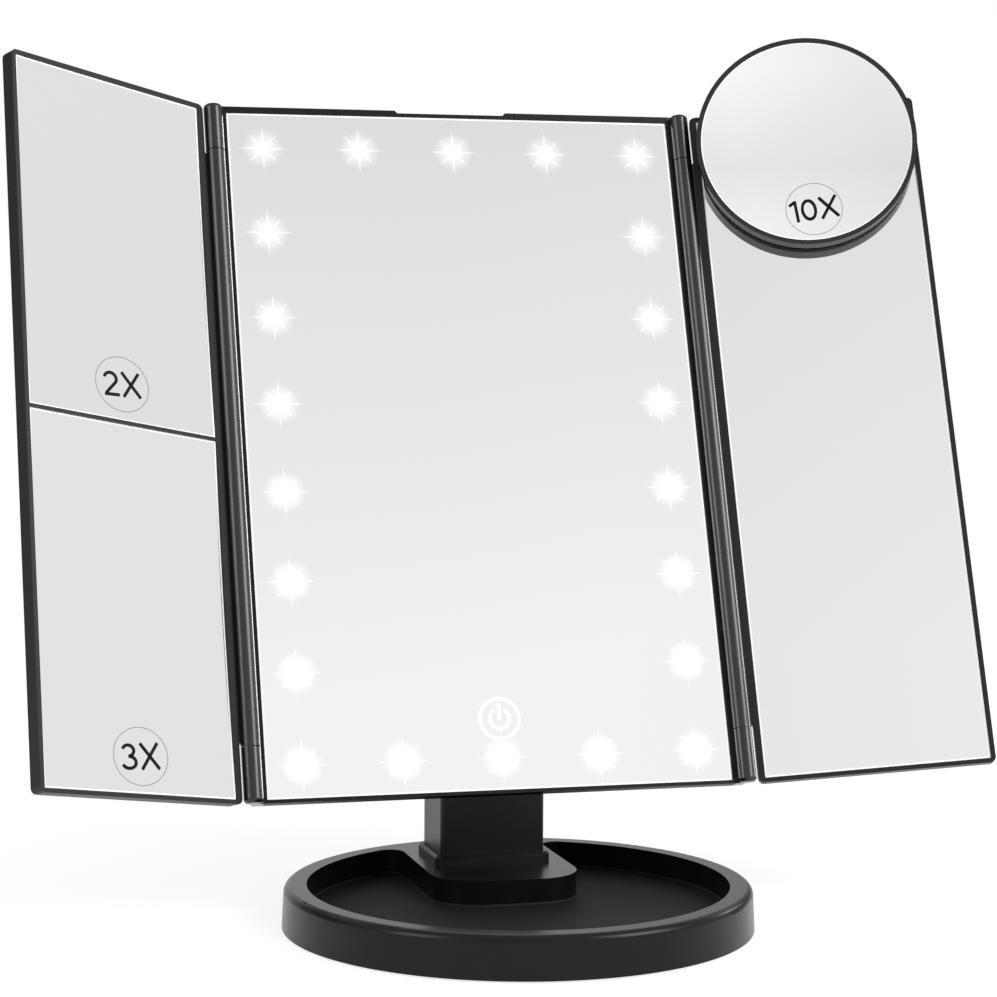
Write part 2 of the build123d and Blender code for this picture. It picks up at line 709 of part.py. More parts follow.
with BuildPart() as centre_back_housing:
    with BuildSketch(panel.offset(-frame_depth)):
        with Locations((0, (rail_top + frame_foot) / 2)):
            Rectangle(2 * housing_half, housing_tall)
    extrude(amount=frame_depth - housing_depth)
    back_axis = Axis(panel.origin, -panel.z_dir)
    fillet(centre_back_housing.faces().sort_by(back_axis)[-1].edges(), housing_round)
    # battery box
    with BuildSketch(panel.offset(-housing_depth + housing_wall)):
        with Locations((0, (bulge_foot + bulge_top) / 2)):
            Rectangle(2 * bulge_half, bulge_top - bulge_foot)
    extrude(amount=housing_depth - housing_wall - door_outer, taper=box_draft)
    fillet(centre_back_housing.faces().sort_by(back_axis)[-1].edges(), box_round)
    # pod below it for the charging socket and the switch
    with BuildSketch(panel.offset(-housing_depth + housing_wall)):
        with Locations((0, pod_middle + pod_wall / 2)):
            Rectangle(pod_width, pod_height + pod_wall)
    extrude(amount=housing_depth - housing_wall - pod_back)
    pod_edges = [
        edge
        for edge in centre_back_housing.edges().filter_by(GeomType.LINE)
        if abs(panel.to_local_coords(edge.center()).Z + pod_back) < seat_gap
        and panel.to_local_coords(edge.center()).Y < pod_top - seat_gap
    ]
    fillet(pod_edges, pod_round)
    # inside of the flat housing and of the pod
    with BuildSketch(panel.offset(-frame_depth)):
        with Locations((0, (rail_top + frame_foot) / 2)):
            Rectangle(2 * (housing_half - housing_wall), housing_tall - 2 * housing_wall)
    extrude(amount=frame_depth - housing_depth + housing_wall, mode=Mode.SUBTRACT)
    with BuildSketch(panel.offset(-frame_depth)):
        with Locations((0, pod_middle)):
            Rectangle(pod_width - 2 * pod_wall, pod_height - pod_wall)
    extrude(amount=frame_depth - pod_inner_depth, mode=Mode.SUBTRACT)
    # battery compartment with its own floor
    with BuildSketch(panel.offset(-box_floor_depth + box_floor)):
        with Locations((0, box_centre)):
            Rectangle(box_long + 2 * box_floor, box_tall + 2 * box_floor)
    extrude(amount=box_floor_depth - box_floor - housing_depth)
    with BuildSketch(panel.offset(-box_floor_depth)):
        with Locations((0, box_centre)):
            Rectangle(box_long, box_tall)
    extrude(amount=box_floor_depth - door_outer, mode=Mode.SUBTRACT)
    # recess for the sliding door, open at the lower edge, with a groove each side
    recess_top = door_top + door_gap
    recess_foot = bulge_foot - box_wall
    for half, near, far in (
        (door_half + door_gap, door_inner, door_outer),
        (door_half + door_rail + door_gap, door_inner, door_inner + door_rail_thickness + door_gap),
    ):
        with BuildSketch(panel.offset(-near)):
            with Locations((0, (recess_top + recess_foot) / 2)):
                Rectangle(2 * half, recess_top - recess_foot)
        extrude(amount=near - far, mode=Mode.SUBTRACT)
    # window for the charging socket, slot for the switch
    with BuildSketch(panel_side.offset(pod_width / 2 - pod_wall)):
        with Locations((pod_middle - tilt_above_glass_foot, tilt_behind_glass - socket_axis_depth)):
            Rectangle(socket_width + 2 * seat_gap, socket_height + 2 * seat_gap)
    extrude(amount=pod_wall, mode=Mode.SUBTRACT)
    with BuildSketch(panel_side.offset(-pod_width / 2)):
        with Locations((pod_middle - tilt_above_glass_foot, tilt_behind_glass - socket_axis_depth)):
            Rectangle(switch_slot, switch_knob_width + 2 * door_gap)
    extrude(amount=pod_wall, mode=Mode.SUBTRACT)
    # pads and holes for the tilt bracket's screws
    with BuildSketch(panel.offset(-bracket_pad_depth)):
        with Locations(*bracket_screw_spots):
            Circle(bracket_boss_radius)
    extrude(amount=bracket_pad_depth - housing_depth)
    with BuildSketch(panel.offset(-housing_depth)):
        with Locations(*bracket_screw_spots):
            Circle(bracket_screw_radius + running_gap)
    extrude(amount=housing_depth - bracket_pad_depth, mode=Mode.SUBTRACT)
    # bosses for the screws, standoffs for the LED board
    with BuildSketch(panel.offset(-frame_depth)):
        with Locations(*screw_spots):
            Circle(panel_boss_radius)
    extrude(amount=frame_depth - housing_depth + housing_wall / 2)
    with BuildSketch(panel.offset(-board_depth)):
        with Locations(*standoff_spots):
            Circle(panel_boss_radius)
    extrude(amount=board_depth - housing_depth + housing_wall / 2)
    with BuildSketch(panel.offset(-housing_depth)):
        with Locations(*screw_spots):
            Circle(panel_screw_head + seat_gap)
    extrude(amount=panel_screw_head_height + seat_gap, mode=Mode.SUBTRACT)
    with BuildSketch(panel.offset(-housing_depth)):
        with Locations(*screw_spots):
            Circle(panel_screw_radius + seat_gap)
    extrude(amount=housing_depth - frame_depth, mode=Mode.SUBTRACT)
write(centre_back_housing.part, "centre_back_housing")

# U-shaped bracket: a plate screwed to the housing, with an ear each side of the neck's barrel
with BuildPart() as tilt_bracket:
    with BuildSketch(placed(panel, 0, bracket_middle, -housing_depth)):
        RectangleRounded(2 * bracket_half, bracket_low + bracket_high, bracket_corner)
    extrude(amount=-bracket_plate)
    plate_face = tilt_behind_glass - housing_depth - bracket_plate
    for side in (LEFT, RIGHT):
        with BuildSketch(panel_side.offset(side * ear_inner)):
            Circle(tilt_barrel_radius)
            with BuildLine():
                Polyline(
                    (-tilt_barrel_radius, 0),
                    (tilt_barrel_radius, 0),
                    (ear_root_high, plate_face),
                    (-ear_root_low, plate_face),
                    close=True,
                )
            make_face()
            Circle(bolt_radius + running_gap, mode=Mode.SUBTRACT)
        extrude(amount=side * ear_thickness)
    with BuildSketch(panel.offset(-housing_depth)):
        with Locations(*bracket_screw_spots):
            Circle(bracket_screw_radius + running_gap)
    extrude(amount=-bracket_plate, mode=Mode.SUBTRACT)
write(tilt_bracket.part, "tilt_bracket")

bracket_screws = [
    screw(
        placed(panel, x, y, -housing_depth - bracket_plate),
        bracket_screw_head,
        bracket_screw_head_height,
        bracket_screw_radius,
        bracket_plate + housing_depth - bracket_pad_depth,
    )
    for x, y in bracket_screw_spots
]
write_group(bracket_screws, "bracket_screws")

screw_seat_depth = housing_depth - panel_screw_head_height - seat_gap
panel_screws = [
    screw(
        placed(panel, x, y, -screw_seat_depth),
        panel_screw_head,
        panel_screw_head_height,
        panel_screw_radius,
        screw_seat_depth - frame_depth + panel_screw_bite,
    )
    for x, y in screw_spots
]
write_group(panel_screws, "panel_screws")


def lamp_ring(depth, thickness, width):
    """Flat ring behind the glass's edge, clear of the frame's ledge and corner gussets."""
    outer_half = ledge_half - board_margin
    outer_tall = ledge_top - ledge_foot - 2 * board_margin
    with BuildPart() as ring:
        with BuildSketch(panel.offset(-depth)) as ring_outline:
            with Locations((0, middle_height)):
                Rectangle(2 * outer_half, outer_tall)
            chamfer(ring_outline.vertices(), gusset)
            with Locations((0, middle_height)):
                Rectangle(2 * (outer_half - width), outer_tall - 2 * width, mode=Mode.SUBTRACT)
        extrude(amount=thickness)
    return ring.part


write(
    lamp_ring(glass_thickness + diffuser_thickness, diffuser_thickness, board_width),
    "light_diffuser",
)
write(lamp_ring(board_depth, board_thickness, board_width), "led_board")

column_pitch = 2 * led_side / (led_columns - 1)
row_pitch = (led_high - led_low) / (led_rows - 1)
led_spots = [
    (column * column_pitch - led_side, row * row_pitch + led_low)
    for row in range(led_rows)
    for column in range(led_columns)
    if row in (0, led_rows - 1) or column in (0, led_columns - 1)
]
leds = []
for x, y in led_spots:
    with BuildPart() as led:
        with BuildSketch(placed(panel, x, y, board_thickness - board_depth)):
            Rectangle(led_size, led_size)
        extrude(amount=led_height)
    leds.append(led.part)
write_group(leds, "leds")

with BuildPart() as touch_sensor:
    with BuildSketch(placed(panel, 0, touch_height, -glass_thickness)):
        Circle(touch_radius)
    extrude(amount=-touch_thickness)
write(touch_sensor.part, "touch_sensor")

# Control board in the pod, with the charging socket at its right end and the switch at its left
board_half = pod_width / 2 - pod_wall - board_margin
socket_low = socket_axis_depth - socket_height / 2
with BuildPart() as control_board:
    with BuildSketch(placed(panel, 0, pod_middle, -socket_low)):
        Rectangle(2 * board_half, pod_height - pod_wall - 2 * board_margin)
    extrude(amount=board_thickness)
write(control_board.part, "control_board")

with BuildPart() as charging_socket:
    with BuildSketch(panel_side.offset(pod_width / 2 - seam_gap)):
        with Locations((pod_middle - tilt_above_glass_foot, tilt_behind_glass - socket_axis_depth)):
            RectangleRounded(socket_width, socket_height, socket_round)
            RectangleRounded(
                socket_width - 2 * contact_thickness,
                socket_height - 2 * contact_thickness,
                socket_round - contact_thickness / 2,
                mode=Mode.SUBTRACT,
            )
    extrude(amount=-socket_depth)
    with BuildSketch(panel_side.offset(pod_width / 2 - socket_depth - seam_gap)):
        with Locations((pod_middle - tilt_above_glass_foot, tilt_behind_glass - socket_axis_depth)):
            Rectangle(socket_width - contact_thickness, socket_height - contact_thickness)
    extrude(amount=contact_thickness)
    with BuildSketch(panel_side.offset(pod_width / 2 - socket_depth - seam_gap)):
        with Locations((pod_middle - tilt_above_glass_foot, tilt_behind_glass - socket_axis_depth)):
            Rectangle(socket_width / 2, socket_tongue)
    extrude(amount=socket_depth - seam_gap)
write(charging_socket.part, "charging_socket")

switch_inner = pod_width / 2 - pod_wall - seat_gap
with BuildPart() as switch_body:
    with BuildSketch(panel_side.offset(-switch_inner)):
        with Locations((pod_middle - tilt_above_glass_foot, tilt_behind_glass - socket_axis_depth)):
            Rectangle(switch_slot + 2 * switch_body_overlap, socket_height)
    extrude(amount=switch_body_depth)
write(switch_body.part, "switch_body")

# At rest the switch is at the lower end of its travel
with BuildPart() as switch_knob_piece:
    with BuildSketch(panel_side.offset(-switch_inner - seat_gap)):
        with Locations(
            (
                pod_middle - tilt_above_glass_foot - switch_travel / 2,
                tilt_behind_glass - socket_axis_depth,
            )
        ):
            Rectangle(switch_knob, switch_knob_width)
    extrude(amount=-(pod_wall + switch_proud))
write(switch_knob_piece.part, "power_switch_knob")

# =================================================================== batteries
cell_depth = box_floor_depth + cell_radius + cell_slack
contact_at = box_long / 2
cells, springs, contacts = [], [], []
for row, height in enumerate(battery_rows()):
    way = 1 if row % 2 == 0 else -1
    tip = way * (contact_at - contact_thickness - cell_slack / 2)
    axis_plane = Plane(
        origin=panel.from_local_coords((tip, height, -cell_depth)),
        x_dir=panel.y_dir,
        z_dir=panel.x_dir * -way,
    )
    with BuildPart() as cell:
        with BuildSketch(axis_plane):
            Circle(cell_nub_radius)
        extrude(amount=cell_nub_length)
        with BuildSketch(axis_plane.offset(cell_nub_length)):
            Circle(cell_radius)
        extrude(amount=cell_length)
    cells.append(cell.part)
    with BuildPart() as spring:
        with BuildSketch(axis_plane.offset(cell_nub_length + cell_length)):
            Circle(cell_nub_radius)
        with BuildSketch(axis_plane.offset(cell_nub_length + cell_length + spring_length)):
            Circle(contact_size / 2)
        loft()
    springs.append(spring.part)
    for end in (LEFT, RIGHT):
        with BuildPart() as contact:
            with BuildSketch(panel_side.offset(end * (contact_at - contact_thickness))):
                with Locations((height - tilt_above_glass_foot, tilt_behind_glass - cell_depth)):
                    Rectangle(contact_size, contact_size)
            extrude(amount=end * contact_thickness)
        contacts.append(contact.part)
write_group(cells, "batteries")
write_group(springs, "battery_springs")
write_group(contacts, "battery_contacts")

door_foot = bulge_foot + door_overlap
with BuildPart() as battery_door:
    with BuildSketch(panel.offset(-door_inner)):
        with Locations((0, (door_foot + door_top) / 2)):
            Rectangle(2 * door_half, door_top - door_foot)
    extrude(amount=-door_thickness)
    with BuildSketch(panel.offset(-door_inner)):
        with Locations((0, (door_foot + door_top) / 2)):
            Rectangle(2 * (door_half + door_rail), door_top - door_foot)
    extrude(amount=-door_rail_thickness)
    with BuildSketch(panel.offset(-door_outer)):
        with Locations((0, door_foot + door_ridge_inset)):
            with GridLocations(0, door_ridge_pitch, 1, door_ridges):
                Rectangle(door_ridge_length, door_ridge_width)
    extrude(amount=door_rail_thickness / 2, mode=Mode.SUBTRACT)
write(battery_door.part, "battery_door")

# =================================================================== wings
barrel_foot = low_knuckle_top + seam_gap
barrel_top = high_knuckle_foot - seam_gap
wing_middle = (wing_near + wing_far) / 2
wing_glass_middle = (wing_glass_near + wing_glass_far) / 2
wing_glass_width = wing_glass_far - wing_glass_near


def wing_panes(side):
    """Foot and top of each glass on that wing: two on the left, one on the right."""
    if side == RIGHT:
        return [(0, glass_height)]
    bar_foot = divider_centre - divider_width / 2
    bar_top = divider_centre + divider_width / 2
    return [(0, bar_foot - seat_gap), (bar_top + seat_gap, glass_height)]


def wing_frame(side):
    """Shallow moulded frame with the long hinge barrel along its inner edge."""
    wing = wing_plane[side]
    with BuildPart() as frame:
        with BuildSketch(wing.offset(wing_front)):
            with Locations((side * wing_middle, (wing_foot + wing_top) / 2)):
                RectangleRounded(wing_far - wing_near, wing_top - wing_foot, wing_corner)
        extrude(amount=-wing_depth)
        for foot, top in wing_panes(side):
            with BuildSketch(wing.offset(wing_front)):
                with Locations((side * wing_glass_middle, (foot + top) / 2)):
                    Rectangle(wing_glass_width + 2 * seat_gap, top - foot + 2 * seat_gap)
            extrude(amount=-lip - glass_thickness, mode=Mode.SUBTRACT)
            with BuildSketch(wing.offset(wing_front)):
                with Locations((side * wing_glass_middle, (foot + top) / 2)):
                    Rectangle(wing_glass_width - 2 * wing_ledge, top - foot - 2 * wing_ledge)
            extrude(amount=-wing_depth, mode=Mode.SUBTRACT)
        # barrel, then the web that carries it, flush with the bezel and hollowed at the back
        with BuildSketch(section(wing, 0, barrel_foot)):
            Circle(barrel_radius)
        extrude(amount=barrel_top - barrel_foot)
        with BuildSketch(section(wing, 0, barrel_foot + web_setback)):
            with BuildLine():
                front_edge = Polyline(
                    (0, barrel_radius),
                    (0, -wing_front),
                    (side * (wing_near + web_setback), -wing_front),
                    (side * (wing_near + web_setback), -wing_back),
                    (side * wing_near, -wing_back),
                )
                Spline(
                    front_edge @ 1,
                    front_edge @ 0,
                    tangents=[(-side, -web_sweep), (-side, 0)],
                )
            make_face()
        extrude(amount=barrel_top - barrel_foot - 2 * web_setback)
        for start, way in ((barrel_foot, 1), (barrel_top, -1)):
            with BuildSketch(section(wing, 0, start)):
                Circle(pin_radius + running_gap)
            extrude(amount=way * (pin_reach + pin_hole_spare), mode=Mode.SUBTRACT)
    return frame.part


def wing_back_cover(side):
    """Flat cover with softened edges and a locating rim inside the frame."""
    wing = wing_plane[side]
    with BuildPart() as cover:
        with BuildSketch(wing.offset(wing_back)):
            with Locations((side * wing_middle, (wing_foot + wing_top) / 2)):
                RectangleRounded(wing_far - wing_near, wing_top - wing_foot, wing_corner)
        extrude(amount=-wing_cover)
        fillet(cover.faces().sort_by(Axis(wing.origin, -wing.z_dir))[-1].edges(), wing_cover_round)
        for foot, top in wing_panes(side):
            with BuildSketch(wing.offset(wing_back)):
                with Locations((side * wing_glass_middle, (foot + top) / 2)):
                    inner_wide = wing_glass_width - 2 * wing_ledge - 2 * seat_gap
                    inner_tall = top - foot - 2 * wing_ledge - 2 * seat_gap
                    Rectangle(inner_wide, inner_tall)
                    Rectangle(
                        inner_wide - 2 * wing_cover_rim,
                        inner_tall - 2 * wing_cover_rim,
                        mode=Mode.SUBTRACT,
                    )
            extrude(amount=wing_cover_rim)
    return cover.part


def wing_mirror(side, foot, top, dish):
    """Silvered glass; a magnifying one is hollowed by a very large sphere."""
    wing = wing_plane[side]
    with BuildPart() as mirror:
        with BuildSketch(wing.offset(wing_glass_front)):
            with Locations((side * wing_glass_middle, (foot + top) / 2)):
                Rectangle(wing_glass_width, top - foot)
        extrude(amount=-glass_thickness)
        if dish > 0:
            reach = hypot(wing_glass_width, top - foot) / 2 + dish_margin
            ball = (reach**2 + dish**2) / (2 * dish)
            ball_height = wing_glass_front - dish + ball
            with Locations(
                placed(wing, side * wing_glass_middle, (foot + top) / 2, ball_height).location
            ):
                Sphere(ball, mode=Mode.SUBTRACT)
    return mirror.part


def foam_tape(side, foot, top):
    """Foam tape down both edges of a glass, between it and the cover."""
    wing = wing_plane[side]
    strips = []
    for edge in (LEFT, RIGHT):
        across = side * wing_glass_middle + edge * (
            wing_glass_width / 2 - wing_ledge - 2 * wing_cover_rim - tape_width / 2
        )
        with BuildPart() as strip:
            with BuildSketch(wing.offset(wing_glass_front - glass_thickness)):
                with Locations((across, (foot + top) / 2)):
                    Rectangle(tape_width, top - foot - 2 * tape_margin)
            extrude(amount=-tape_thickness)
        strips.append(strip.part)
    return strips


for side in (LEFT, RIGHT):
    name = side_name[side]
    write(wing_frame(side), f"{name}_wing_frame")
    write(wing_back_cover(side), f"{name}_wing_back")
    tape = []
    for pane in wing_panes(side):
        tape += foam_tape(side, *pane)
    write_group(tape, f"{name}_wing_tape")
    pins = []
    for start in (low_knuckle_top - pin_grip, high_knuckle_foot - seam_gap - pin_reach):
        with BuildPart() as pin:
            with BuildSketch(section(panel, side * hinge_half, start, hinge_proud)):
                Circle(pin_radius)
            extrude(amount=pin_grip + seam_gap + pin_reach)
        pins.append(pin.part)
    write_group(pins, f"{name}_hinge_pins")

lower_pane, upper_pane = wing_panes(LEFT)
write(wing_mirror(LEFT, *lower_pane, dish=lower_mirror_dish), "left_lower_mirror")
write(wing_mirror(LEFT, *upper_pane, dish=upper_mirror_dish), "left_upper_mirror")
write(wing_mirror(RIGHT, *wing_panes(RIGHT)[0], dish=0), "right_mirror")

# =================================================================== round magnifier
lens_front = lens_depth
lens_glass_radius = lens_radius - lens_rim - seat_gap
lens_glass_edge = lens_front - lens_glass_recess
lens_shelf = lens_glass_edge - lens_glass_thickness
lens_shelf_inner = lens_radius - lens_taper - lens_wall - lens_rim
lens_ball = (lens_glass_radius**2 + lens_sag**2) / (2 * lens_sag)
lens_centre_height = lens_glass_edge - lens_sag


def lens_rise(radius):
    """How far the hollow glass has risen from its middle at that radius."""
    return lens_ball - (lens_ball**2 - radius**2) ** 0.5


cup_spots = [(-cup_side, cup_high), (cup_side, cup_high), (0, cup_low)]
lens_axis = Axis(lens.origin, lens.z_dir)

with BuildPart() as magnifier_cup:
    with BuildSketch(lathe(lens)) as cup_profile:
        with BuildLine():
            Polyline(
                (0, 0),
                (lens_radius - lens_taper, 0),
                (lens_radius, lens_front),
                (lens_radius - lens_rim, lens_front),
                (lens_radius - lens_rim, lens_shelf),
                (lens_shelf_inner, lens_centre_height - lens_glass_thickness + lens_rise(lens_shelf_inner)),
                (lens_shelf_inner, lens_wall),
                (0, lens_wall),
                close=True,
            )
        make_face()
        fillet(cup_profile.vertices().group_by(Axis.Y)[0].sort_by(Axis.X)[-1], lens_back_round)
    revolve(axis=lens_axis)
    with BuildSketch(lens):
        with Locations(*cup_spots):
            Circle(cup_stem_radius + seat_gap)
    extrude(amount=lens_wall, mode=Mode.SUBTRACT)
write(magnifier_cup.part, "magnifier_cup")

half_reach = lens_glass_radius / 2
half_rise = lens_rise(half_reach)
with BuildPart() as magnifier_mirror:
    with BuildSketch(lathe(lens)):
        with BuildLine():
            face_arc = ThreePointArc(
                (0, lens_centre_height),
                (half_reach, lens_centre_height + half_rise),
                (lens_glass_radius, lens_glass_edge),
            )
            Line(face_arc @ 1, (lens_glass_radius, lens_shelf))
            back_arc = ThreePointArc(
                (lens_glass_radius, lens_shelf),
                (half_reach, lens_centre_height + half_rise - lens_glass_thickness),
                (0, lens_centre_height - lens_glass_thickness),
            )
            Line(back_arc @ 1, face_arc @ 0)
        make_face()
    revolve(axis=lens_axis)
write(magnifier_mirror.part, "magnifier_mirror")

cup_foot = cup_lift - lens_standoff
cup_neck = cup_foot / 2
suction_cups = []
for x, y in cup_spots:
    with BuildPart() as suction_cup:
        with BuildSketch(lathe(lens, x, y)):
            with BuildLine():
                Polyline(
                    (0, lens_wall + cup_head_height),
                    (cup_head_radius, lens_wall + cup_head_height),
                    (cup_head_radius, lens_wall),
                    (cup_stem_radius, lens_wall),
                    (cup_stem_radius, cup_neck),
                    (cup_radius, cup_foot + cup_lip),
                    (cup_radius, cup_foot),
                    (cup_radius - cup_lip, cup_foot),
                    (0, cup_neck - cup_lip),
                    close=True,
                )
            make_face()
        revolve(axis=Axis(lathe(lens, x, y).origin, lens.z_dir))
    suction_cups.append(suction_cup.part)
write_group(suction_cups, "suction_cups")
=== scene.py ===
"""Looks of the trifold vanity mirror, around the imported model.

Metres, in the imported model's frame: +X to the right of the person who uses it, -Y towards them,
+Z up. Patterns are drawn in millimetres, in the plane of the glass that carries them.
"""

import json
import math

import bpy
import numpy as np
from mathutils import Matrix, Vector


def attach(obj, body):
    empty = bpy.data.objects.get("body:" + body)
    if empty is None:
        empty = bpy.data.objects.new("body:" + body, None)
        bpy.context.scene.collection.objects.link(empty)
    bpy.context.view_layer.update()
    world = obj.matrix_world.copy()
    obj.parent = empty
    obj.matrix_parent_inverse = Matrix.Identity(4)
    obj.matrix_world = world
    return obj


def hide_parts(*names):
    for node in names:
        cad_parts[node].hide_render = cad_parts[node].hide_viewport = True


MM = 0.001

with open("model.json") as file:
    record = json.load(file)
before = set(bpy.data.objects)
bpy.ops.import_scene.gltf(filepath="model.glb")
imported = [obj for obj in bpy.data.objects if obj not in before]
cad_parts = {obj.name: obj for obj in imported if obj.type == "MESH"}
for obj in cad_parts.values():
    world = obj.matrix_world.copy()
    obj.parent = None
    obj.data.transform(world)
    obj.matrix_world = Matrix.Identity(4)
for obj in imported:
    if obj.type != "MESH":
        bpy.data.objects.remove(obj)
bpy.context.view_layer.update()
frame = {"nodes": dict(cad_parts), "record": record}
nodes = frame["nodes"]
slot_of = {part["node"]: part["material_slot"] for part in frame["record"]["subparts"]}

# --------------------------------------------------------------------------- sizes, in millimetres
TILT = math.radians(19.2)                 # the centre panel leans back
FOLD = {"left": math.radians(31.9), "right": math.radians(17.5)}
TILT_AXIS = Vector((0, 44.5, 55.5))
FOOT_BELOW_AXIS, GLASS_BEFORE_AXIS = 22.0, 22.0
HINGE_HALF, HINGE_PROUD = 85.0, 1.4
BARREL = 3.6                              # reach of the hinge barrels and knuckles from their axis
GLASS_HALF, GLASS_TALL = 80.2, 240.0      # centre glass
WING_NEAR, WING_FAR = 6.3, 83.1           # wing glass, from the hinge axis
WING_MIDDLE, WING_HALF = 44.7, 38.4
DIVIDER_LOW, DIVIDER_HIGH = 120.4, 121.6  # bar between the two left glasses
PANE_THICK = 2.0
UPPER_DISH, LOWER_DISH = 0.7, 0.9         # how deep the two magnifying panes are hollowed
DISH_MARGIN = 1.0                         # the hollow reaches this far past the corners
GROUND_EDGE, GROUND_RIM = 0.55, 0.35      # bevel ground round a straight glass, and round the lens
GROUND_BLUR = 0.1                         # the polish ends this softly at the bevel

LENS_ALONG, LENS_UP = 44.6, 226.1         # middle of the round magnifier on the right wing
LENS_FRONT = 7.8                          # its rim's front, off the wing's glass
LENS_RADIUS, LENS_SAG, LENS_RECESS = 37.7, 2.6, 0.4
LENS_THICK = 1.5

TRAY_FLOOR_TOP, TRAY_RADIUS = 6.4, 69.2   # just above the tray's floor, and its reach

LAMP_SIDE, LAMP_COLUMN_PITCH = 68.0, 34.0
LAMP_MIDDLE, LAMP_HALF = 118.95, 108.15   # rows of lamps, above and below the middle of the glass
LAMP_LOW, LAMP_ROW_PITCH = 10.8, 30.9
STAR_LONG, STAR_LONG_WIDE = 8.6, 0.8      # a lamp's painted glint, its long rays: reach and half width
STAR_SHORT, STAR_SHORT_WIDE = 7.2, 1.1
STAR_CORE, STAR_CORE_END = 1.0, 4.6       # its hot middle fades out between these radii
STAR_HALO, STAR_HALO_END = 2.5, 7.2       # and its weak painted halo between these
PAINTED_HALO_GLOW = 0.25
PAINTED_RAY_GLOW = 0.4                       # the painted rays glow less than the lit core
STAR_RAY_INSIDE, STAR_RAY_OUTSIDE = 0.65, 1.15  # a ray's soft edge, as shares of its rhombus
SIGN_UP, SIGN_GLOW = 24.0, 0.6            # touch sign above the foot of the glass, and its glow
SIGN_RING, SIGN_CIRCLE, SIGN_LINE = 6.8, 3.4, 1.05
SIGN_BAR, SIGN_BAR_MIDDLE, SIGN_GAP = 5.4, 2.3, 0.62
BATTERY_BAND, BATTERY_BAND_HALF = 13.0, 2.4

MARK_THICK, FILM_CLEAR = 0.06, 0.03       # film of a magnification mark, and the ink on it
MARK_ASKEW = 4                            # degrees, the films are stuck on by hand
MARK_2X, MARK_3X = (-44.8, 134.1), (-44.5, 11.9)
MARK_RADIUS, MARK_STRETCH = 9.4, 1.18     # the left wing's films are a little wide
LENS_MARK_BELOW, LENS_MARK_RADIUS = 25.7, 10.2
LETTER_HEIGHT, LETTER_STROKE = 8.3, 0.125 # stroke as a share of the height
FILM_EDGE_BEGINS, FILM_EDGE = 0.965, 0.98 # shares of the film's radius
FILM_EDGE_SHOWS = 0.25                    # how much of the painted edge line shows, which stands in for light caught by the cut edge


# --------------------------------------------------------------------------- planes of the glasses
def plane_matrix(x_axis, y_axis, origin):
    """Matrix from a plane's own coordinates (x, y, normal), in mm, to the frame in metres."""
    basis = Matrix((x_axis, y_axis, x_axis.cross(y_axis))).transposed().to_4x4()
    return Matrix.Scale(MM, 4) @ Matrix.Translation(origin) @ basis


ACROSS = Vector((1, 0, 0))
UP = Vector((0, math.sin(TILT), math.cos(TILT)))
FORWARD = ACROSS.cross(UP)
FOOT = TILT_AXIS - FOOT_BELOW_AXIS * UP + GLASS_BEFORE_AXIS * FORWARD
PANEL = plane_matrix(ACROSS, UP, FOOT)


def wing_matrix(side):
    """Plane of a wing: x from its hinge axis, outwards on the right and inwards on the left."""
    way = -1 if side == "left" else 1
    along = math.cos(FOLD[side]) * ACROSS + way * math.sin(FOLD[side]) * FORWARD
    hinge = FOOT + way * HINGE_HALF * ACROSS + HINGE_PROUD * FORWARD
    return plane_matrix(along, UP, hinge - HINGE_PROUD * along.cross(UP))


WING = {side: wing_matrix(side) for side in FOLD}
LENS = WING["right"] @ Matrix.Translation((LENS_ALONG, LENS_UP, LENS_FRONT))


# --------------------------------------------------------------------------- material helpers
def linear(hex_colour):
    """sRGB hex to a linear RGBA tuple."""
    shares = [int(hex_colour[i : i + 2], 16) / 255 for i in (1, 3, 5)]
    values = [v / 12.92 if v <= 0.04045 else ((v + 0.055) / 1.055) ** 2.4 for v in shares]
    return (*values, 1.0)


def add(tree, kind, settings=None, **inputs):
    """Adds a node, sets its properties, and sets or links its inputs.

    An input is named by its socket with _ for a space, or by its number as i0, i1 and so on. A
    value that is a socket or a node is linked, anything else is its setting.
    """
    node = tree.nodes.new("ShaderNode" + kind)
    for name, value in (settings or {}).items():
        setattr(node, name, value)
    for name, value in inputs.items():
        numbered = name[0] == "i" and name[1:].isdigit()
        socket = node.inputs[int(name[1:])] if numbered else node.inputs[name.replace("_", " ")]
        if isinstance(value, bpy.types.Node):
            value = value.outputs[0]
        if isinstance(value, bpy.types.NodeSocket):
            tree.links.new(value, socket)
        else:
            socket.default_value = value
    return node


# settings of the nodes that are used again and again
MIX_COLOURS = {"data_type": "RGBA"}
SMOOTH_STEP = {"interpolation_type": "SMOOTHSTEP"}
MINUS, TIMES = {"operation": "SUBTRACT"}, {"operation": "MULTIPLY"}
TIMES_PLUS = {"operation": "MULTIPLY_ADD"}
SMALLER, LARGER = {"operation": "MINIMUM"}, {"operation": "MAXIMUM"}
SIZE_OF, LENGTH_OF = {"operation": "ABSOLUTE"}, {"operation": "LENGTH"}
DOT, WRAP = {"operation": "DOT_PRODUCT"}, {"operation": "WRAP"}
NEAR, UNDER = {"operation": "COMPARE"}, {"operation": "LESS_THAN"}


def new_material(name):
    """Empty node material and its tree."""
    material = bpy.data.materials.new(name)
    material.use_nodes = True
    material.node_tree.nodes.clear()
    return material, material.node_tree


def on_plane(tree, plane):
    """The shading point in a plane's own coordinates: x and y in millimetres, and 0."""
    place, turn, size = plane.inverted().decompose()
    here = add(tree, "TexCoord").outputs["Object"]
    mapped = add(tree, "Mapping", Vector=here, Location=place, Rotation=turn.to_euler(), Scale=size)
    return add(tree, "VectorMath", TIMES, i0=mapped, i1=(1, 1, 0))


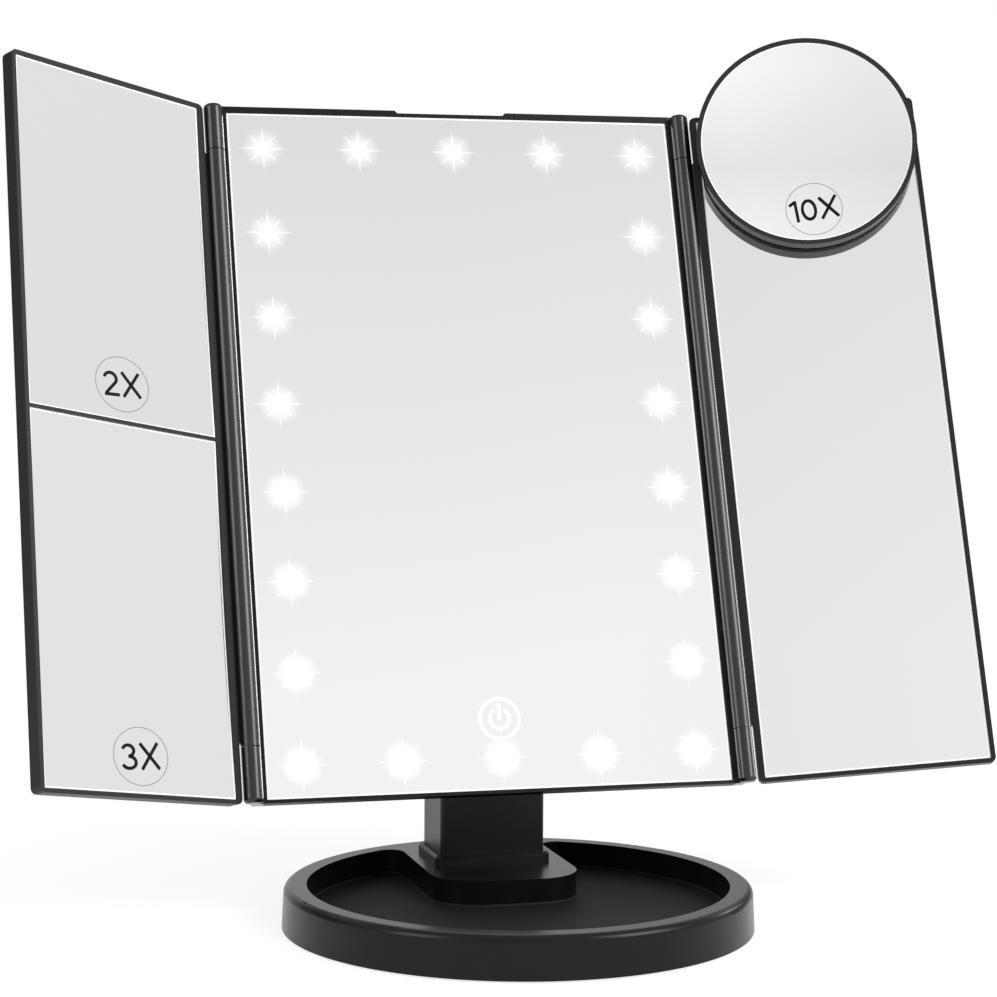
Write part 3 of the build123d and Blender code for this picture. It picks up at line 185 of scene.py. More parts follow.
def fine_texture(tree, grain, height):
    """Bump normal from an even grain: grain and height in millimetres.

    The grain that a mould, a cut or a plating leaves is about 0.05 to 0.1 mm wide, too fine to
    show. The materials that use this get a coarser one, at a height that only softens its
    highlights.
    """
    here = add(tree, "TexCoord").outputs["Object"]
    noise = add(tree, "TexNoise", Vector=here, Scale=1 / (grain * MM))
    return add(tree, "Bump", Strength=1.0, Distance=height * MM, Height=noise)


NOISE = {"From_Min": 0.3, "From_Max": 0.7}  # where nearly all of a noise lies


def mottled(tree, size, low, high):
    """Wanders between two numbers over patches of a size in millimetres."""
    here = add(tree, "TexCoord").outputs["Object"]
    noise = add(tree, "TexNoise", Vector=here, Scale=1 / (size * MM), Detail=3.0)
    return add(tree, "MapRange", Value=noise, **NOISE, To_Min=low, To_Max=high)


# --------------------------------------------------------------------------- plastics
ABS_BLACK = ("#08080a", "#0c0c0e")
ABS_GREY = ("#18181b", "#1e1e22")
ABS_IOR = 1.54
ABS_PATCH, ABS_SHEEN_PATCH = 18, 30       # its colour and its sheen wander over patches this wide
BEZEL_ROUGH, BARREL_ROUGH, BARREL_SKIN_ROUGH = 0.4, 0.32, 0.2
TRAY_RIM_ROUGH, TRAY_FLOOR_ROUGH = 0.27, 0.66


def abs_colour(tree, colours):
    """Colour of ABS: it wanders between two close shades, as the pigment does."""
    dark, light = (linear(colour) for colour in colours)
    mixed = add(tree, "Mix", MIX_COLOURS, i0=mottled(tree, ABS_PATCH, 0, 1), i6=dark, i7=light)
    return mixed.outputs[2]


def moulded_abs(name, colours, roughness, specular, grain, height):
    """Black ABS, injection moulded.

    To the eye it is near black, with the soft and slightly uneven sheen of its mould.
    """
    material, tree = new_material(name)
    shader = add(
        tree,
        "BsdfPrincipled",
        Base_Color=abs_colour(tree, colours),
        Roughness=mottled(tree, ABS_SHEEN_PATCH, roughness - 0.03, roughness + 0.03),
        IOR=ABS_IOR,
        Specular_IOR_Level=specular,
        Normal=fine_texture(tree, grain, height),
    )
    add(tree, "OutputMaterial", Surface=shader)
    return material


def hinged_abs(name, plane, axis, specular, polish):
    """Black ABS of a frame with hinges: fine matt bezels, with polished barrels and knuckles.

    To the eye the bezels are near black, and each barrel carries soft bright lines from the
    lights. The barrels stand within BARREL of the hinge axes, which are axis from the plane's
    middle. polish is the weight of their smoother skin.
    """
    material, tree = new_material(name)
    x = add(tree, "SeparateXYZ", Vector=on_plane(tree, plane)).outputs[0]
    beside = add(tree, "Math", SIZE_OF, i0=x)
    barrel = add(tree, "Math", NEAR, i0=beside, i1=axis, i2=BARREL)
    shader = add(
        tree,
        "BsdfPrincipled",
        Base_Color=abs_colour(tree, ABS_BLACK),
        Roughness=add(tree, "MapRange", Value=barrel, To_Min=BEZEL_ROUGH, To_Max=BARREL_ROUGH),
        IOR=ABS_IOR,
        Specular_IOR_Level=specular,
        Coat_Weight=add(tree, "Math", TIMES, i0=barrel, i1=polish),
        Coat_Roughness=BARREL_SKIN_ROUGH,
        Normal=fine_texture(tree, 0.8, 0.004),
    )
    add(tree, "OutputMaterial", Surface=shader)
    return material


def tray_abs():
    """Black ABS of the tray, with a polished rim and a floor that its spark-eroded mould left matt.

    To the eye the rim has a soft bright line, and the floor is even and dark.
    """
    material, tree = new_material("black_abs_tray")
    here = add(tree, "TexCoord").outputs["Object"]
    height = add(tree, "SeparateXYZ", Vector=here).outputs[2]
    level = add(tree, "VectorMath", TIMES, i0=here, i1=(1, 1, 0))
    reach = add(tree, "VectorMath", LENGTH_OF, i0=level).outputs["Value"]
    low = add(tree, "Math", UNDER, i0=height, i1=TRAY_FLOOR_TOP * MM)
    inside = add(tree, "Math", UNDER, i0=reach, i1=TRAY_RADIUS * MM)
    floor = add(tree, "Math", TIMES, i0=low, i1=inside)
    rough = add(tree, "MapRange", Value=floor, To_Min=TRAY_RIM_ROUGH, To_Max=TRAY_FLOOR_ROUGH)
    shader = add(
        tree,
        "BsdfPrincipled",
        Base_Color=abs_colour(tree, ABS_BLACK),
        Roughness=rough,
        IOR=ABS_IOR,
        Specular_IOR_Level=0.19,
        Normal=fine_texture(tree, 0.7, 0.006),
    )
    add(tree, "OutputMaterial", Surface=shader)
    return material


def plain_plastic(name, first, second, roughness, grain, height):
    """A moulded, cast or foamed plastic.

    To the eye it has one even colour, slightly mottled, with a sheen as dull as its grain is deep.
    """
    material, tree = new_material(name)
    share = mottled(tree, 6, 0, 1)
    colour = add(tree, "Mix", MIX_COLOURS, i0=share, i6=linear(first), i7=linear(second))
    shader = add(
        tree,
        "BsdfPrincipled",
        Base_Color=colour.outputs[2],
        Roughness=mottled(tree, 9, roughness - 0.05, roughness + 0.05),
        Normal=fine_texture(tree, grain, height),
    )
    add(tree, "OutputMaterial", Surface=shader)
    return material


# --------------------------------------------------------------------------- silvered glass
GROUND_WHITE, GROUND_ROUGH = "#fcfcfd", 0.5


def silvered_surface(tree, silver, ground, glow=None):
    """Float glass silvered at the back.

    To the eye it is a mirror, with a frosted white line where it is ground. silver is what the
    mirror gives back of white; each glass is given a slightly different silver, as painted shade
    and painted light. glow is the light that its clear windows let through, with painted glints
    round the lamps.
    """
    colour = add(tree, "Mix", MIX_COLOURS, i0=ground, i6=linear(silver), i7=linear(GROUND_WHITE))
    polish = mottled(tree, 40, 0.0, 0.012)
    shader = add(
        tree,
        "BsdfPrincipled",
        Base_Color=colour.outputs[2],
        Metallic=add(tree, "Math", MINUS, i0=1.0, i1=ground),
        Roughness=add(tree, "Math", TIMES_PLUS, i0=ground, i1=GROUND_ROUGH, i2=polish),
    )
    if glow is not None:
        shader.inputs["Emission Color"].default_value = linear("#ffffff")
        tree.links.new(glow.outputs[0], shader.inputs["Emission Strength"])
    add(tree, "OutputMaterial", Surface=shader)


def ground_border(tree, here, middle, half, low, high):
    """1 on the narrow bevel ground round a rectangular glass, 0 on its polished face."""
    centre = (middle, (low + high) / 2, 0)
    aside = add(tree, "VectorMath", SIZE_OF, i0=add(tree, "VectorMath", MINUS, i0=here, i1=centre))
    inset = add(tree, "VectorMath", MINUS, i0=(half, (high - low) / 2, 0), i1=aside)
    inset_x, inset_y, _ = add(tree, "SeparateXYZ", Vector=inset).outputs
    return add(
        tree,
        "MapRange",
        Value=add(tree, "Math", SMALLER, i0=inset_x, i1=inset_y),
        From_Min=GROUND_EDGE - GROUND_BLUR,
        From_Max=GROUND_EDGE + GROUND_BLUR,
        To_Min=1.0,
        To_Max=0.0,
    )


def pane_glass(name, silver, plane, middle, half, low, high):
    """Silvered glass of one wing pane: to the eye a mirror, its silver a touch greyer than the
    round one's, as painted shade.
    """
    material, tree = new_material(name)
    ground = ground_border(tree, on_plane(tree, plane), middle, half, low, high)
    silvered_surface(tree, silver, ground)
    return material


def round_glass():
    """Silvered hollow glass of the magnifier: to the eye the clearest mirror, its silver lighter as
    painted light, ground at its rim.
    """
    material, tree = new_material("silvered_glass_round")
    distance = add(tree, "VectorMath", LENGTH_OF, i0=on_plane(tree, LENS)).outputs["Value"]
    bevel = LENS_RADIUS - GROUND_RIM
    ground = add(
        tree,
        "MapRange",
        Value=distance,
        From_Min=bevel - GROUND_BLUR,
        From_Max=bevel + GROUND_BLUR,
    )
    silvered_surface(tree, "#fcfcfd", ground)
    return material


def painted_glint_rays(tree, here, reach, wide):
    """Four tapering rays of a painted star-shaped glint, along x and y: 1 inside them, 0 outside.

    A ray is a thin rhombus, where |x| / reach + |y| / wide stays under 1, or the same with x and y
    changed over.
    """
    away = add(tree, "VectorMath", SIZE_OF, i0=here)
    flat = add(tree, "VectorMath", DOT, i0=away, i1=(1 / reach, 1 / wide, 0)).outputs["Value"]
    tall = add(tree, "VectorMath", DOT, i0=away, i1=(1 / wide, 1 / reach, 0)).outputs["Value"]
    return add(
        tree,
        "MapRange",
        Value=add(tree, "Math", SMALLER, i0=flat, i1=tall),
        From_Min=STAR_RAY_INSIDE,
        From_Max=STAR_RAY_OUTSIDE,
        To_Min=1.0,
        To_Max=0.0,
    )


def lamp_glow_and_glints(tree, here):
    """Glow over the lamps, from 0 to 1: each lit clear window, in a painted star-shaped glint.

    The plane is folded by the lamps' pitch, so that one star draws them all: near the top and
    bottom rows it repeats along x, elsewhere it repeats along y. A star has four long rays, four
    short ones turned by 45 degrees, a hot round middle and a weak round halo. The middle is the lit
    window; the rays are a painted glint and the halo is painted glow.
    """
    from_middle = add(tree, "VectorMath", MINUS, i0=here, i1=(0, LAMP_MIDDLE, 0))
    to_row = add(
        tree,
        "VectorMath",
        MINUS,
        i0=add(tree, "VectorMath", SIZE_OF, i0=from_middle),
        i1=(LAMP_SIDE, LAMP_HALF, 0),
    )
    repeat = (LAMP_COLUMN_PITCH / 2, LAMP_ROW_PITCH / 2, 1)
    repeated = add(
        tree,
        "VectorMath",
        WRAP,
        i0=add(tree, "VectorMath", MINUS, i0=here, i1=(0, LAMP_LOW, 0)),
        i1=repeat,
        i2=tuple(-value for value in repeat),
    )
    side_x, row_y, _ = add(tree, "SeparateXYZ", Vector=to_row).outputs
    row_x, side_y, _ = add(tree, "SeparateXYZ", Vector=repeated).outputs
    in_row = add(tree, "Math", NEAR, i0=row_y, i1=0.0, i2=STAR_LONG + 1)
    star = add(
        tree,
        "Mix",
        {"data_type": "VECTOR"},
        i0=in_row,
        i4=add(tree, "CombineXYZ", X=side_x, Y=side_y),
        i5=add(tree, "CombineXYZ", X=row_x, Y=row_y),
    ).outputs[1]
    slanted = add(tree, "Mapping", Vector=star, Rotation=(0, 0, math.radians(45)))
    long_rays = painted_glint_rays(tree, star, STAR_LONG, STAR_LONG_WIDE)
    short_rays = painted_glint_rays(tree, slanted, STAR_SHORT, STAR_SHORT_WIDE)
    distance = add(tree, "VectorMath", LENGTH_OF, i0=star).outputs["Value"]
    middle = add(
        tree,
        "MapRange",
        SMOOTH_STEP,
        Value=distance,
        From_Min=STAR_CORE,
        From_Max=STAR_CORE_END,
        To_Min=1.0,
        To_Max=0.0,
    )
    halo = add(
        tree,
        "MapRange",
        Value=distance,
        From_Min=STAR_HALO,
        From_Max=STAR_HALO_END,
        To_Min=PAINTED_HALO_GLOW,
        To_Max=0.0,
    )
    # painted glints: the rays and the halo are painted glow, only the middle is the lit window
    rays = add(tree, "Math", LARGER, i0=long_rays, i1=short_rays)
    rays = add(tree, "Math", TIMES, i0=rays, i1=PAINTED_RAY_GLOW)
    core = add(tree, "Math", TIMES, i0=middle, i1=middle)
    spot = add(tree, "Math", LARGER, i0=core, i1=halo)
    return add(tree, "Math", LARGER, i0=rays, i1=spot)


def touch_sign(tree, here):
    """Glow of the touch switch's sign: a ring round the power sign, an open circle and a bar."""
    from_sign = add(tree, "VectorMath", MINUS, i0=here, i1=(0, SIGN_UP, 0))
    distance = add(tree, "VectorMath", LENGTH_OF, i0=from_sign).outputs["Value"]
    ring = add(tree, "Math", NEAR, i0=distance, i1=SIGN_RING, i2=SIGN_LINE / 2)
    circle = add(tree, "Math", NEAR, i0=distance, i1=SIGN_CIRCLE, i2=SIGN_LINE / 2)
    across, up, _ = add(tree, "SeparateXYZ", Vector=from_sign).outputs
    beside = add(tree, "Math", SIZE_OF, i0=across)
    opening = add(tree, "Math", UNDER, i0=beside, i1=add(tree, "Math", TIMES, i0=up, i1=SIGN_GAP))
    closed = add(tree, "Math", MINUS, i0=1.0, i1=opening)
    circle = add(tree, "Math", TIMES, i0=circle, i1=closed)
    bar = add(
        tree,
        "Math",
        TIMES,
        i0=add(tree, "Math", UNDER, i0=beside, i1=SIGN_LINE / 2),
        i1=add(tree, "Math", NEAR, i0=up, i1=SIGN_BAR_MIDDLE, i2=SIGN_BAR / 2),
    )
    sign = add(tree, "Math", LARGER, i0=ring, i1=add(tree, "Math", LARGER, i0=circle, i1=bar))
    return add(tree, "Math", TIMES, i0=sign, i1=SIGN_GLOW)


def centre_glass():
    """Silvered glass of the centre panel, clear over the lamps and the touch switch.

    To the eye it is a mirror with 22 lit lamp windows round its border, each in a painted
    star-shaped glint and halo, and a lit sign low in its middle.
    """
    material, tree = new_material("silvered_glass_lit")
    here = on_plane(tree, PANEL)
    glow = add(tree, "Math", LARGER, i0=lamp_glow_and_glints(tree, here), i1=touch_sign(tree, here))
    ground = ground_border(tree, here, 0.0, GLASS_HALF, 0.0, GLASS_TALL)
    # painted shade and light: this glass's silver, like each glass's, is set a little darker or
    # lighter than the others'
    silvered_surface(tree, "#f5f5f6", ground, glow)
    return material


# --------------------------------------------------------------------------- metals and boards
def plated_metal(name, colour, shade, roughness, grain, height, spangle=0.0):
    """Steel or copper with a thin plating.

    To the eye it has a metal sheen, with a slightly darker shade in places. Galvanised sheet has
    spangles, flat crystals of zinc that each have one shade.
    """
    material, tree = new_material(name)
    if spangle:
        here = add(tree, "TexCoord").outputs["Object"]
        cells = add(tree, "TexVoronoi", Vector=here, Scale=1 / (spangle * MM)).outputs["Color"]
        share = add(tree, "SeparateColor", Color=cells)
    else:
        share = mottled(tree, 4, 0, 1)
    mixed = add(tree, "Mix", MIX_COLOURS, i0=share, i6=linear(colour), i7=linear(shade))
    shader = add(
        tree,
        "BsdfPrincipled",
        Base_Color=mixed.outputs[2],
        Metallic=1.0,
        Roughness=mottled(tree, 5, roughness - 0.05, roughness + 0.08),
        Normal=fine_texture(tree, grain, height),
    )
    add(tree, "OutputMaterial", Surface=shader)
    return material


TRACK_RUN, TRACK_HALF = 3.5, 0.125        # from gap to gap, and half its width, in pitches


def printed_board(name, mask, track, pitch):
    """Circuit board: solder mask over etched copper tracks.

    To the eye the tracks show through as lighter lines, pitch apart, with gaps of one pitch. Real
    tracks are finer, 0.2 mm, and drawn coarser to show.
    """
    material, tree = new_material(name)
    x, y, _ = add(tree, "SeparateXYZ", Vector=on_plane(tree, PANEL)).outputs
    across_track = add(tree, "Math", WRAP, i0=y, i1=pitch / 2, i2=-pitch / 2)
    along_track = add(tree, "Math", WRAP, i0=x, i1=TRACK_RUN * pitch, i2=0.0)
    from_track = add(tree, "Math", SIZE_OF, i0=across_track)
    lines = add(tree, "Math", UNDER, i0=from_track, i1=TRACK_HALF * pitch)
    unbroken = add(tree, "Math", UNDER, i0=pitch, i1=along_track)
    share = add(tree, "Math", TIMES, i0=lines, i1=unbroken)
    colour = add(tree, "Mix", MIX_COLOURS, i0=share, i6=linear(mask), i7=linear(track))
    shader = add(
        tree,
        "BsdfPrincipled",
        Base_Color=colour.outputs[2],
        Roughness=mottled(tree, 8, 0.28, 0.4),
        Normal=fine_texture(tree, 0.8, 0.01),
    )
    add(tree, "OutputMaterial", Surface=shader)
    return material


def battery_sleeve():
    """Printed PVC sleeve shrunk on steel cells: to the eye dark and glossy, with a pale band."""
    material, tree = new_material("shrunk_pvc_sleeve")
    x = add(tree, "SeparateXYZ", Vector=on_plane(tree, PANEL)).outputs[0]
    band = add(tree, "Math", NEAR, i0=x, i1=BATTERY_BAND, i2=BATTERY_BAND_HALF)
    colour = add(tree, "Mix", MIX_COLOURS, i0=band, i6=linear("#23252b"), i7=linear("#b9a06a"))
    shader = add(
        tree,
        "BsdfPrincipled",
        Base_Color=colour.outputs[2],
        Roughness=mottled(tree, 6, 0.24, 0.34),
        Normal=fine_texture(tree, 2.0, 0.01),
    )
    add(tree, "OutputMaterial", Surface=shader)
    return material


def soft_pvc():
    """Clear soft PVC of the suction cups, moulded: to the eye see-through and slightly milky."""
    material, tree = new_material("clear_soft_pvc")
    shader = add(
        tree,
        "BsdfPrincipled",
        Base_Color=linear("#eef4f6"),
        Roughness=mottled(tree, 5, 0.06, 0.16),
        IOR=1.53,
        Transmission_Weight=0.9,
        Normal=fine_texture(tree, 3.0, 0.01),
    )
    add(tree, "OutputMaterial", Surface=shader)
    return material


def printing_ink():
    """Black screen-printing ink of the marks: to the eye matt and a little uneven."""
    material, tree = new_material("printing_ink")
    share = mottled(tree, 1.5, 0, 1)
    colour = add(tree, "Mix", MIX_COLOURS, i0=share, i6=linear("#050506"), i7=linear("#0d0d0f"))
    shader = add(
        tree,
        "BsdfPrincipled",
        Base_Color=colour.outputs[2],
        Roughness=mottled(tree, 3, 0.5, 0.65),
        Specular_IOR_Level=0.12,
    )
    add(tree, "OutputMaterial", Surface=shader)
    return material


def mark_film():
    """Clear polyester film of the marks, die cut: to the eye only its edge, a faint grey line
    painted for the light that the cut edge catches.
    """
    material, tree = new_material("clear_polyester_film")
    share = add(tree, "SeparateXYZ", Vector=add(tree, "UVMap"))
    edge = add(
        tree,
        "MapRange",
        Value=share,
        From_Min=FILM_EDGE_BEGINS,
        From_Max=FILM_EDGE,
        To_Max=FILM_EDGE_SHOWS,
    )
    shader = add(
        tree,
        "BsdfPrincipled",
        Base_Color=linear("#5c5f63"),
        Roughness=mottled(tree, 4, 0.25, 0.4),
        Alpha=edge,
    )
    add(tree, "OutputMaterial", Surface=shader)
    return material


satin_abs = moulded_abs(
    "black_abs_satin", ABS_BLACK, roughness=0.36, specular=0.25, grain=0.7, height=0.006
)
# the cup's black is a little paler, and smoother
cup_abs = moulded_abs(
    "black_abs_cup", ABS_GREY, roughness=0.36, specular=0.28, grain=1.0, height=0.004
)

# after the colours: roughness, and the grain's size and height in millimetres
finish = {
    "black_abs": satin_abs,
    # dull dark grey with open pores
    "foam_pad": plain_plastic("eva_foam", "#1a1a1c", "#242426", 0.85, 1.2, 0.12),
    # dull silver in patches, from its zinc spangles
    "galvanised_steel": plated_metal(
        "galvanised_steel", "#b9bdc0", "#9da2a6", 0.38, 2.0, 0.01, spangle=7.0
    ),
    # dark grey metal with a blue cast
    "screw_steel": plated_metal("black_zinc_steel", "#3b3c41", "#2a2b2f", 0.32, 0.5, 0.01),
    # bright silver
    "pin_steel": plated_metal("turned_steel", "#c9cacd", "#b4b6ba", 0.24, 0.3, 0.004),
    # milky white sheet
    "frosted_acrylic": plain_plastic("frosted_acrylic", "#eef1f2", "#f6f8f8", 0.6, 0.4, 0.02),
    # cream and green lacquer, glossy, with tracks this far apart
    "white_board": printed_board("white_solder_mask", "#e9e8e2", "#dcdad0", 2.0),
    "green_board": printed_board("green_solder_mask", "#174a2c", "#2d7446", 1.6),
    # egg-yolk yellow resin
    "led_phosphor": plain_plastic("lamp_phosphor", "#f1d878", "#f7e6a4", 0.5, 0.3, 0.01),
    # copper red with silvery tin
    "copper_pad": plated_metal("tinned_copper", "#b87b52", "#cfc6bb", 0.3, 1.0, 0.01),
    # bright, warm silver
    "nickel_shell": plated_metal("nickel_plated_steel", "#c8c5bd", "#b5b2aa", 0.2, 0.8, 0.004),
    # satin black
    "switch_nylon": plain_plastic("black_nylon", "#161618", "#1e1e20", 0.5, 0.5, 0.01),
    "battery_jacket": battery_sleeve(),
    # waxy cream
    "washer_nylon": plain_plastic("natural_nylon", "#e2dfd5", "#eceae2", 0.45, 0.6, 0.01),
    # dull white
    "foam_tape": plain_plastic("white_foam_tape", "#e4e3dd", "#f0efea", 0.85, 0.8, 0.08),
    "clear_rubber": soft_pvc(),
}
LEFT_PANE = (WING["left"], -WING_MIDDLE, WING_HALF)
RIGHT_PANE = (WING["right"], WING_MIDDLE, WING_HALF)
special = {
    "base_dish": tray_abs(),
    "centre_front_frame": hinged_abs(
        "black_abs_centre_frame", PANEL, axis=HINGE_HALF, specular=0.16, polish=0.8
    ),
    "left_wing_frame": hinged_abs(
        "black_abs_left_frame", WING["left"], axis=0.0, specular=0.3, polish=0.5
    ),
    "right_wing_frame": hinged_abs(
        "black_abs_right_frame", WING["right"], axis=0.0, specular=0.3, polish=0.5
    ),
    "magnifier_cup": cup_abs,
    "centre_mirror": centre_glass(),
    # painted shade and light: the glasses' silvers differ, darker or lighter, only to stand in for
    # how light falls on each
    "left_lower_mirror": pane_glass(
        "silvered_glass_lower", "#f6f6f7", *LEFT_PANE, 0.0, DIVIDER_LOW
    ),
    "left_upper_mirror": pane_glass(
        "silvered_glass_upper", "#f2f2f3", *LEFT_PANE, DIVIDER_HIGH, GLASS_TALL
    ),
    "right_mirror": pane_glass("silvered_glass_right", "#f3f3f4", *RIGHT_PANE, 0.0, GLASS_TALL),
    "magnifier_mirror": round_glass(),
}
for name, node in nodes.items():
    node.data.materials.clear()
    node.data.materials.append(special.get(name) or finish[slot_of[name]])


# --------------------------------------------------------------------------- shapes
SHARP = 30                                # degrees between two faces
PANE_COLUMNS, PANE_ROWS = 41, 65          # points of a hollow pane's grid
LENS_RINGS, LENS_TURNS, FILM_TURNS = 33, 128, 96


def shell(name, points, faces, place, material, body):
    """Closed piece from points in mm of a plane: smooth, with edges of over SHARP degrees sharp."""
    mesh = bpy.data.meshes.new(name)
    mesh.from_pydata(np.asarray(points, float).tolist(), [], faces)
    mesh.polygons.foreach_set("use_smooth", np.ones(len(mesh.polygons), bool))
    mesh.set_sharp_from_angle(angle=math.radians(SHARP))
    mesh.transform(place)
    mesh.materials.append(material)
    piece = bpy.data.objects.new(name, mesh)
    bpy.context.scene.collection.objects.link(piece)
    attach(piece, body)
    return piece


def turned_solid(radius, height, turns, stretch=1.0):
    """A profile turned round its axis, with its points and faces.

    x = stretch * radius * cos(turn), y = radius * sin(turn) and z = height. The first and the last
    point of the profile lie on the axis, so each is one vertex. The profile runs from the middle of
    the front, over the rim, to the middle of the back.
    """
    angle = np.linspace(0, 2 * np.pi, turns, endpoint=False)
    rings = len(radius) - 2
    x = stretch * np.outer(radius[1:-1], np.cos(angle))
    y = np.outer(radius[1:-1], np.sin(angle))
    z = np.repeat(height[1:-1, None], turns, axis=1)
    walls = np.stack([x, y, z], axis=-1).reshape(-1, 3)
    points = np.vstack([[(0, 0, height[0])], walls, [(0, 0, height[-1])]])
    around = np.arange(turns)
    ahead = (around + 1) % turns
    front = np.stack([np.zeros(turns, int), 1 + around, 1 + ahead], axis=1)
    start = 1 + turns * np.arange(rings - 1)[:, None]
    below = start + turns
    sides = np.stack([start + around, below + around, below + ahead, start + ahead], axis=-1)
    foot = 1 + turns * (rings - 1)
    back = np.stack([np.full(turns, len(points) - 1), foot + ahead, foot + around], axis=1)
    return points, front.tolist() + sides.reshape(-1, 4).tolist() + back.tolist()


def hollow(distance, reach, depth):
    """How far a sphere's hollow lies behind its rim, at a distance from its middle.

    The sphere has radius (reach^2 + depth^2) / (2 * depth), so the hollow is depth deep in the
    middle and nothing at reach.
    """
    ball = (reach**2 + depth**2) / (2 * depth)
    return depth - ball + np.sqrt(ball**2 - distance**2)


def pane_reach(low, high):
    """Distance from the middle of a left pane at which its hollow ends, just past the corners."""
    return math.hypot(WING_HALF, (high - low) / 2) + DISH_MARGIN


def hollow_pane(name, replaced, low, high, depth):
    """Magnifying pane of the left wing: a flat sheet whose front is part of a very large sphere.

    On a grid of (x, y), the front is z = -hollow(distance from the middle) and the back is
    z = -thickness. The two grids are joined by a strip of faces round their border.
    """
    columns = np.linspace(-WING_FAR, -WING_NEAR, PANE_COLUMNS)
    x, y = np.meshgrid(columns, np.linspace(low, high, PANE_ROWS))
    distance = np.hypot(x + WING_MIDDLE, y - (low + high) / 2)
    z = -hollow(distance, pane_reach(low, high), depth)
    count = x.size
    points = np.vstack(
        [
            np.stack([x, y, z], axis=-1).reshape(-1, 3),
            np.stack([x, y, np.full_like(x, -PANE_THICK)], axis=-1).reshape(-1, 3),
        ]
    )
    index = np.arange(count).reshape(x.shape)
    corners = [index[:-1, :-1], index[:-1, 1:], index[1:, 1:], index[1:, :-1]]
    front = np.stack(corners, axis=-1).reshape(-1, 4)
    border = np.concatenate([index[0, :-1], index[:-1, -1], index[-1, :0:-1], index[:0:-1, 0]])
    following = np.roll(border, -1)
    sides = np.stack([border, border + count, following + count, following], axis=1)
    faces = np.vstack([front, front[:, ::-1] + count, sides]).tolist()
    piece = shell(name, points, faces, WING["left"], special[replaced], "left_wing")
    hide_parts(replaced)


def lens_glass():
    """Hollow glass of the magnifier: front and back have one sphere's shape, a glass apart."""
    steps = np.linspace(0, LENS_RADIUS, LENS_RINGS)
    face = -LENS_RECESS - hollow(steps, LENS_RADIUS, LENS_SAG)
    radius = np.concatenate([steps, steps[::-1]])
    height = np.concatenate([face, face[::-1] - LENS_THICK])
    points, faces = turned_solid(radius, height, LENS_TURNS)
    piece = shell("lens_glass", points, faces, LENS, special["magnifier_mirror"], "magnifier")
    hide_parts("magnifier_mirror")


hollow_pane("upper_glass", "left_upper_mirror", DIVIDER_HIGH, GLASS_TALL, UPPER_DISH)
hollow_pane("lower_glass", "left_lower_mirror", 0.0, DIVIDER_LOW, LOWER_DISH)
lens_glass()


# --------------------------------------------------------------------------- printed marks
ARC_POINTS = 29


def arc(x, y, wide, tall, start, end):
    """Part of an ellipse: (x + wide * cos(turn), y + tall * sin(turn)), the turn in degrees."""
    turn = np.radians(np.linspace(start, end, ARC_POINTS))
    return np.stack([x + wide * np.cos(turn), y + tall * np.sin(turn)], axis=1)


# centre lines of plain figures 1 high, each with the width that it takes
FIGURES = {
    "0": (0.68, [arc(0.34, 0.5, 0.28, 0.44, 90, 450)]),
    "1": (0.40, [np.array([(0.30, 0.0), (0.30, 1.0)]), np.array([(0.03, 0.80), (0.30, 0.96)])]),
    "2": (
        0.66,
        [
            np.vstack([arc(0.32, 0.69, 0.25, 0.25, 165, -28), [(0.09, 0.10)]]),
            np.array([(0.03, 0.055), (0.64, 0.055)]),
        ],
    ),
    "3": (0.64, [arc(0.29, 0.73, 0.23, 0.21, 160, -90), arc(0.29, 0.28, 0.28, 0.23, 90, -160)]),
    "X": (0.84, [np.array([(0.06, 1.0), (0.78, 0.0)]), np.array([(0.78, 1.0), (0.06, 0.0)])]),
}
FIGURE_GAP = 0.10


def ribbon(line, wide, low, high):
    """Bar carried along a line in the plane: a rectangle from low to high, wide across the line.

    At each point the rectangle's corners are the point plus and minus half the width along the
    line's normal, below and above. The two ends are closed.
    """
    along = np.gradient(line, axis=0)
    along /= np.linalg.norm(along, axis=1, keepdims=True)
    aside = wide / 2 * np.stack([-along[:, 1], along[:, 0]], axis=1)
    flat = np.stack([line + aside, line - aside, line - aside, line + aside], axis=1)
    tall = np.tile([low, low, high, high], (len(line), 1))[:, :, None]
    points = np.concatenate([flat, tall], axis=2).reshape(-1, 3)
    start = 4 * np.arange(len(line) - 1)[:, None]
    corner, beside = np.arange(4), np.roll(np.arange(4), -1)
    following = start + 4
    sides = np.stack(
        [start + corner, start + beside, following + beside, following + corner], axis=-1
    )
    ends = [[3, 2, 1, 0], (len(points) - 4 + corner).tolist()]
    return points, sides.reshape(-1, 4).tolist() + ends


def figures(text, stretch):
    """Points and faces of a short centred mark, LETTER_HEIGHT tall, on top of its film."""
    widths = [FIGURES[figure][0] for figure in text]
    cursor = -(sum(widths) + FIGURE_GAP * (len(text) - 1)) / 2
    points, faces = np.empty((0, 3)), []
    scale = np.array([stretch, 1.0]) * LETTER_HEIGHT
    for figure, width in zip(text, widths):
        for line in FIGURES[figure][1]:
            placed = (line + (cursor, -0.5)) * scale
            more, sides = ribbon(placed, LETTER_STROKE * LETTER_HEIGHT, MARK_THICK, 2 * MARK_THICK)
            faces += [[corner + len(points) for corner in side] for side in sides]
            points = np.vstack([points, more])
        cursor += width + FIGURE_GAP
    return points, faces


ink, film = printing_ink(), mark_film()


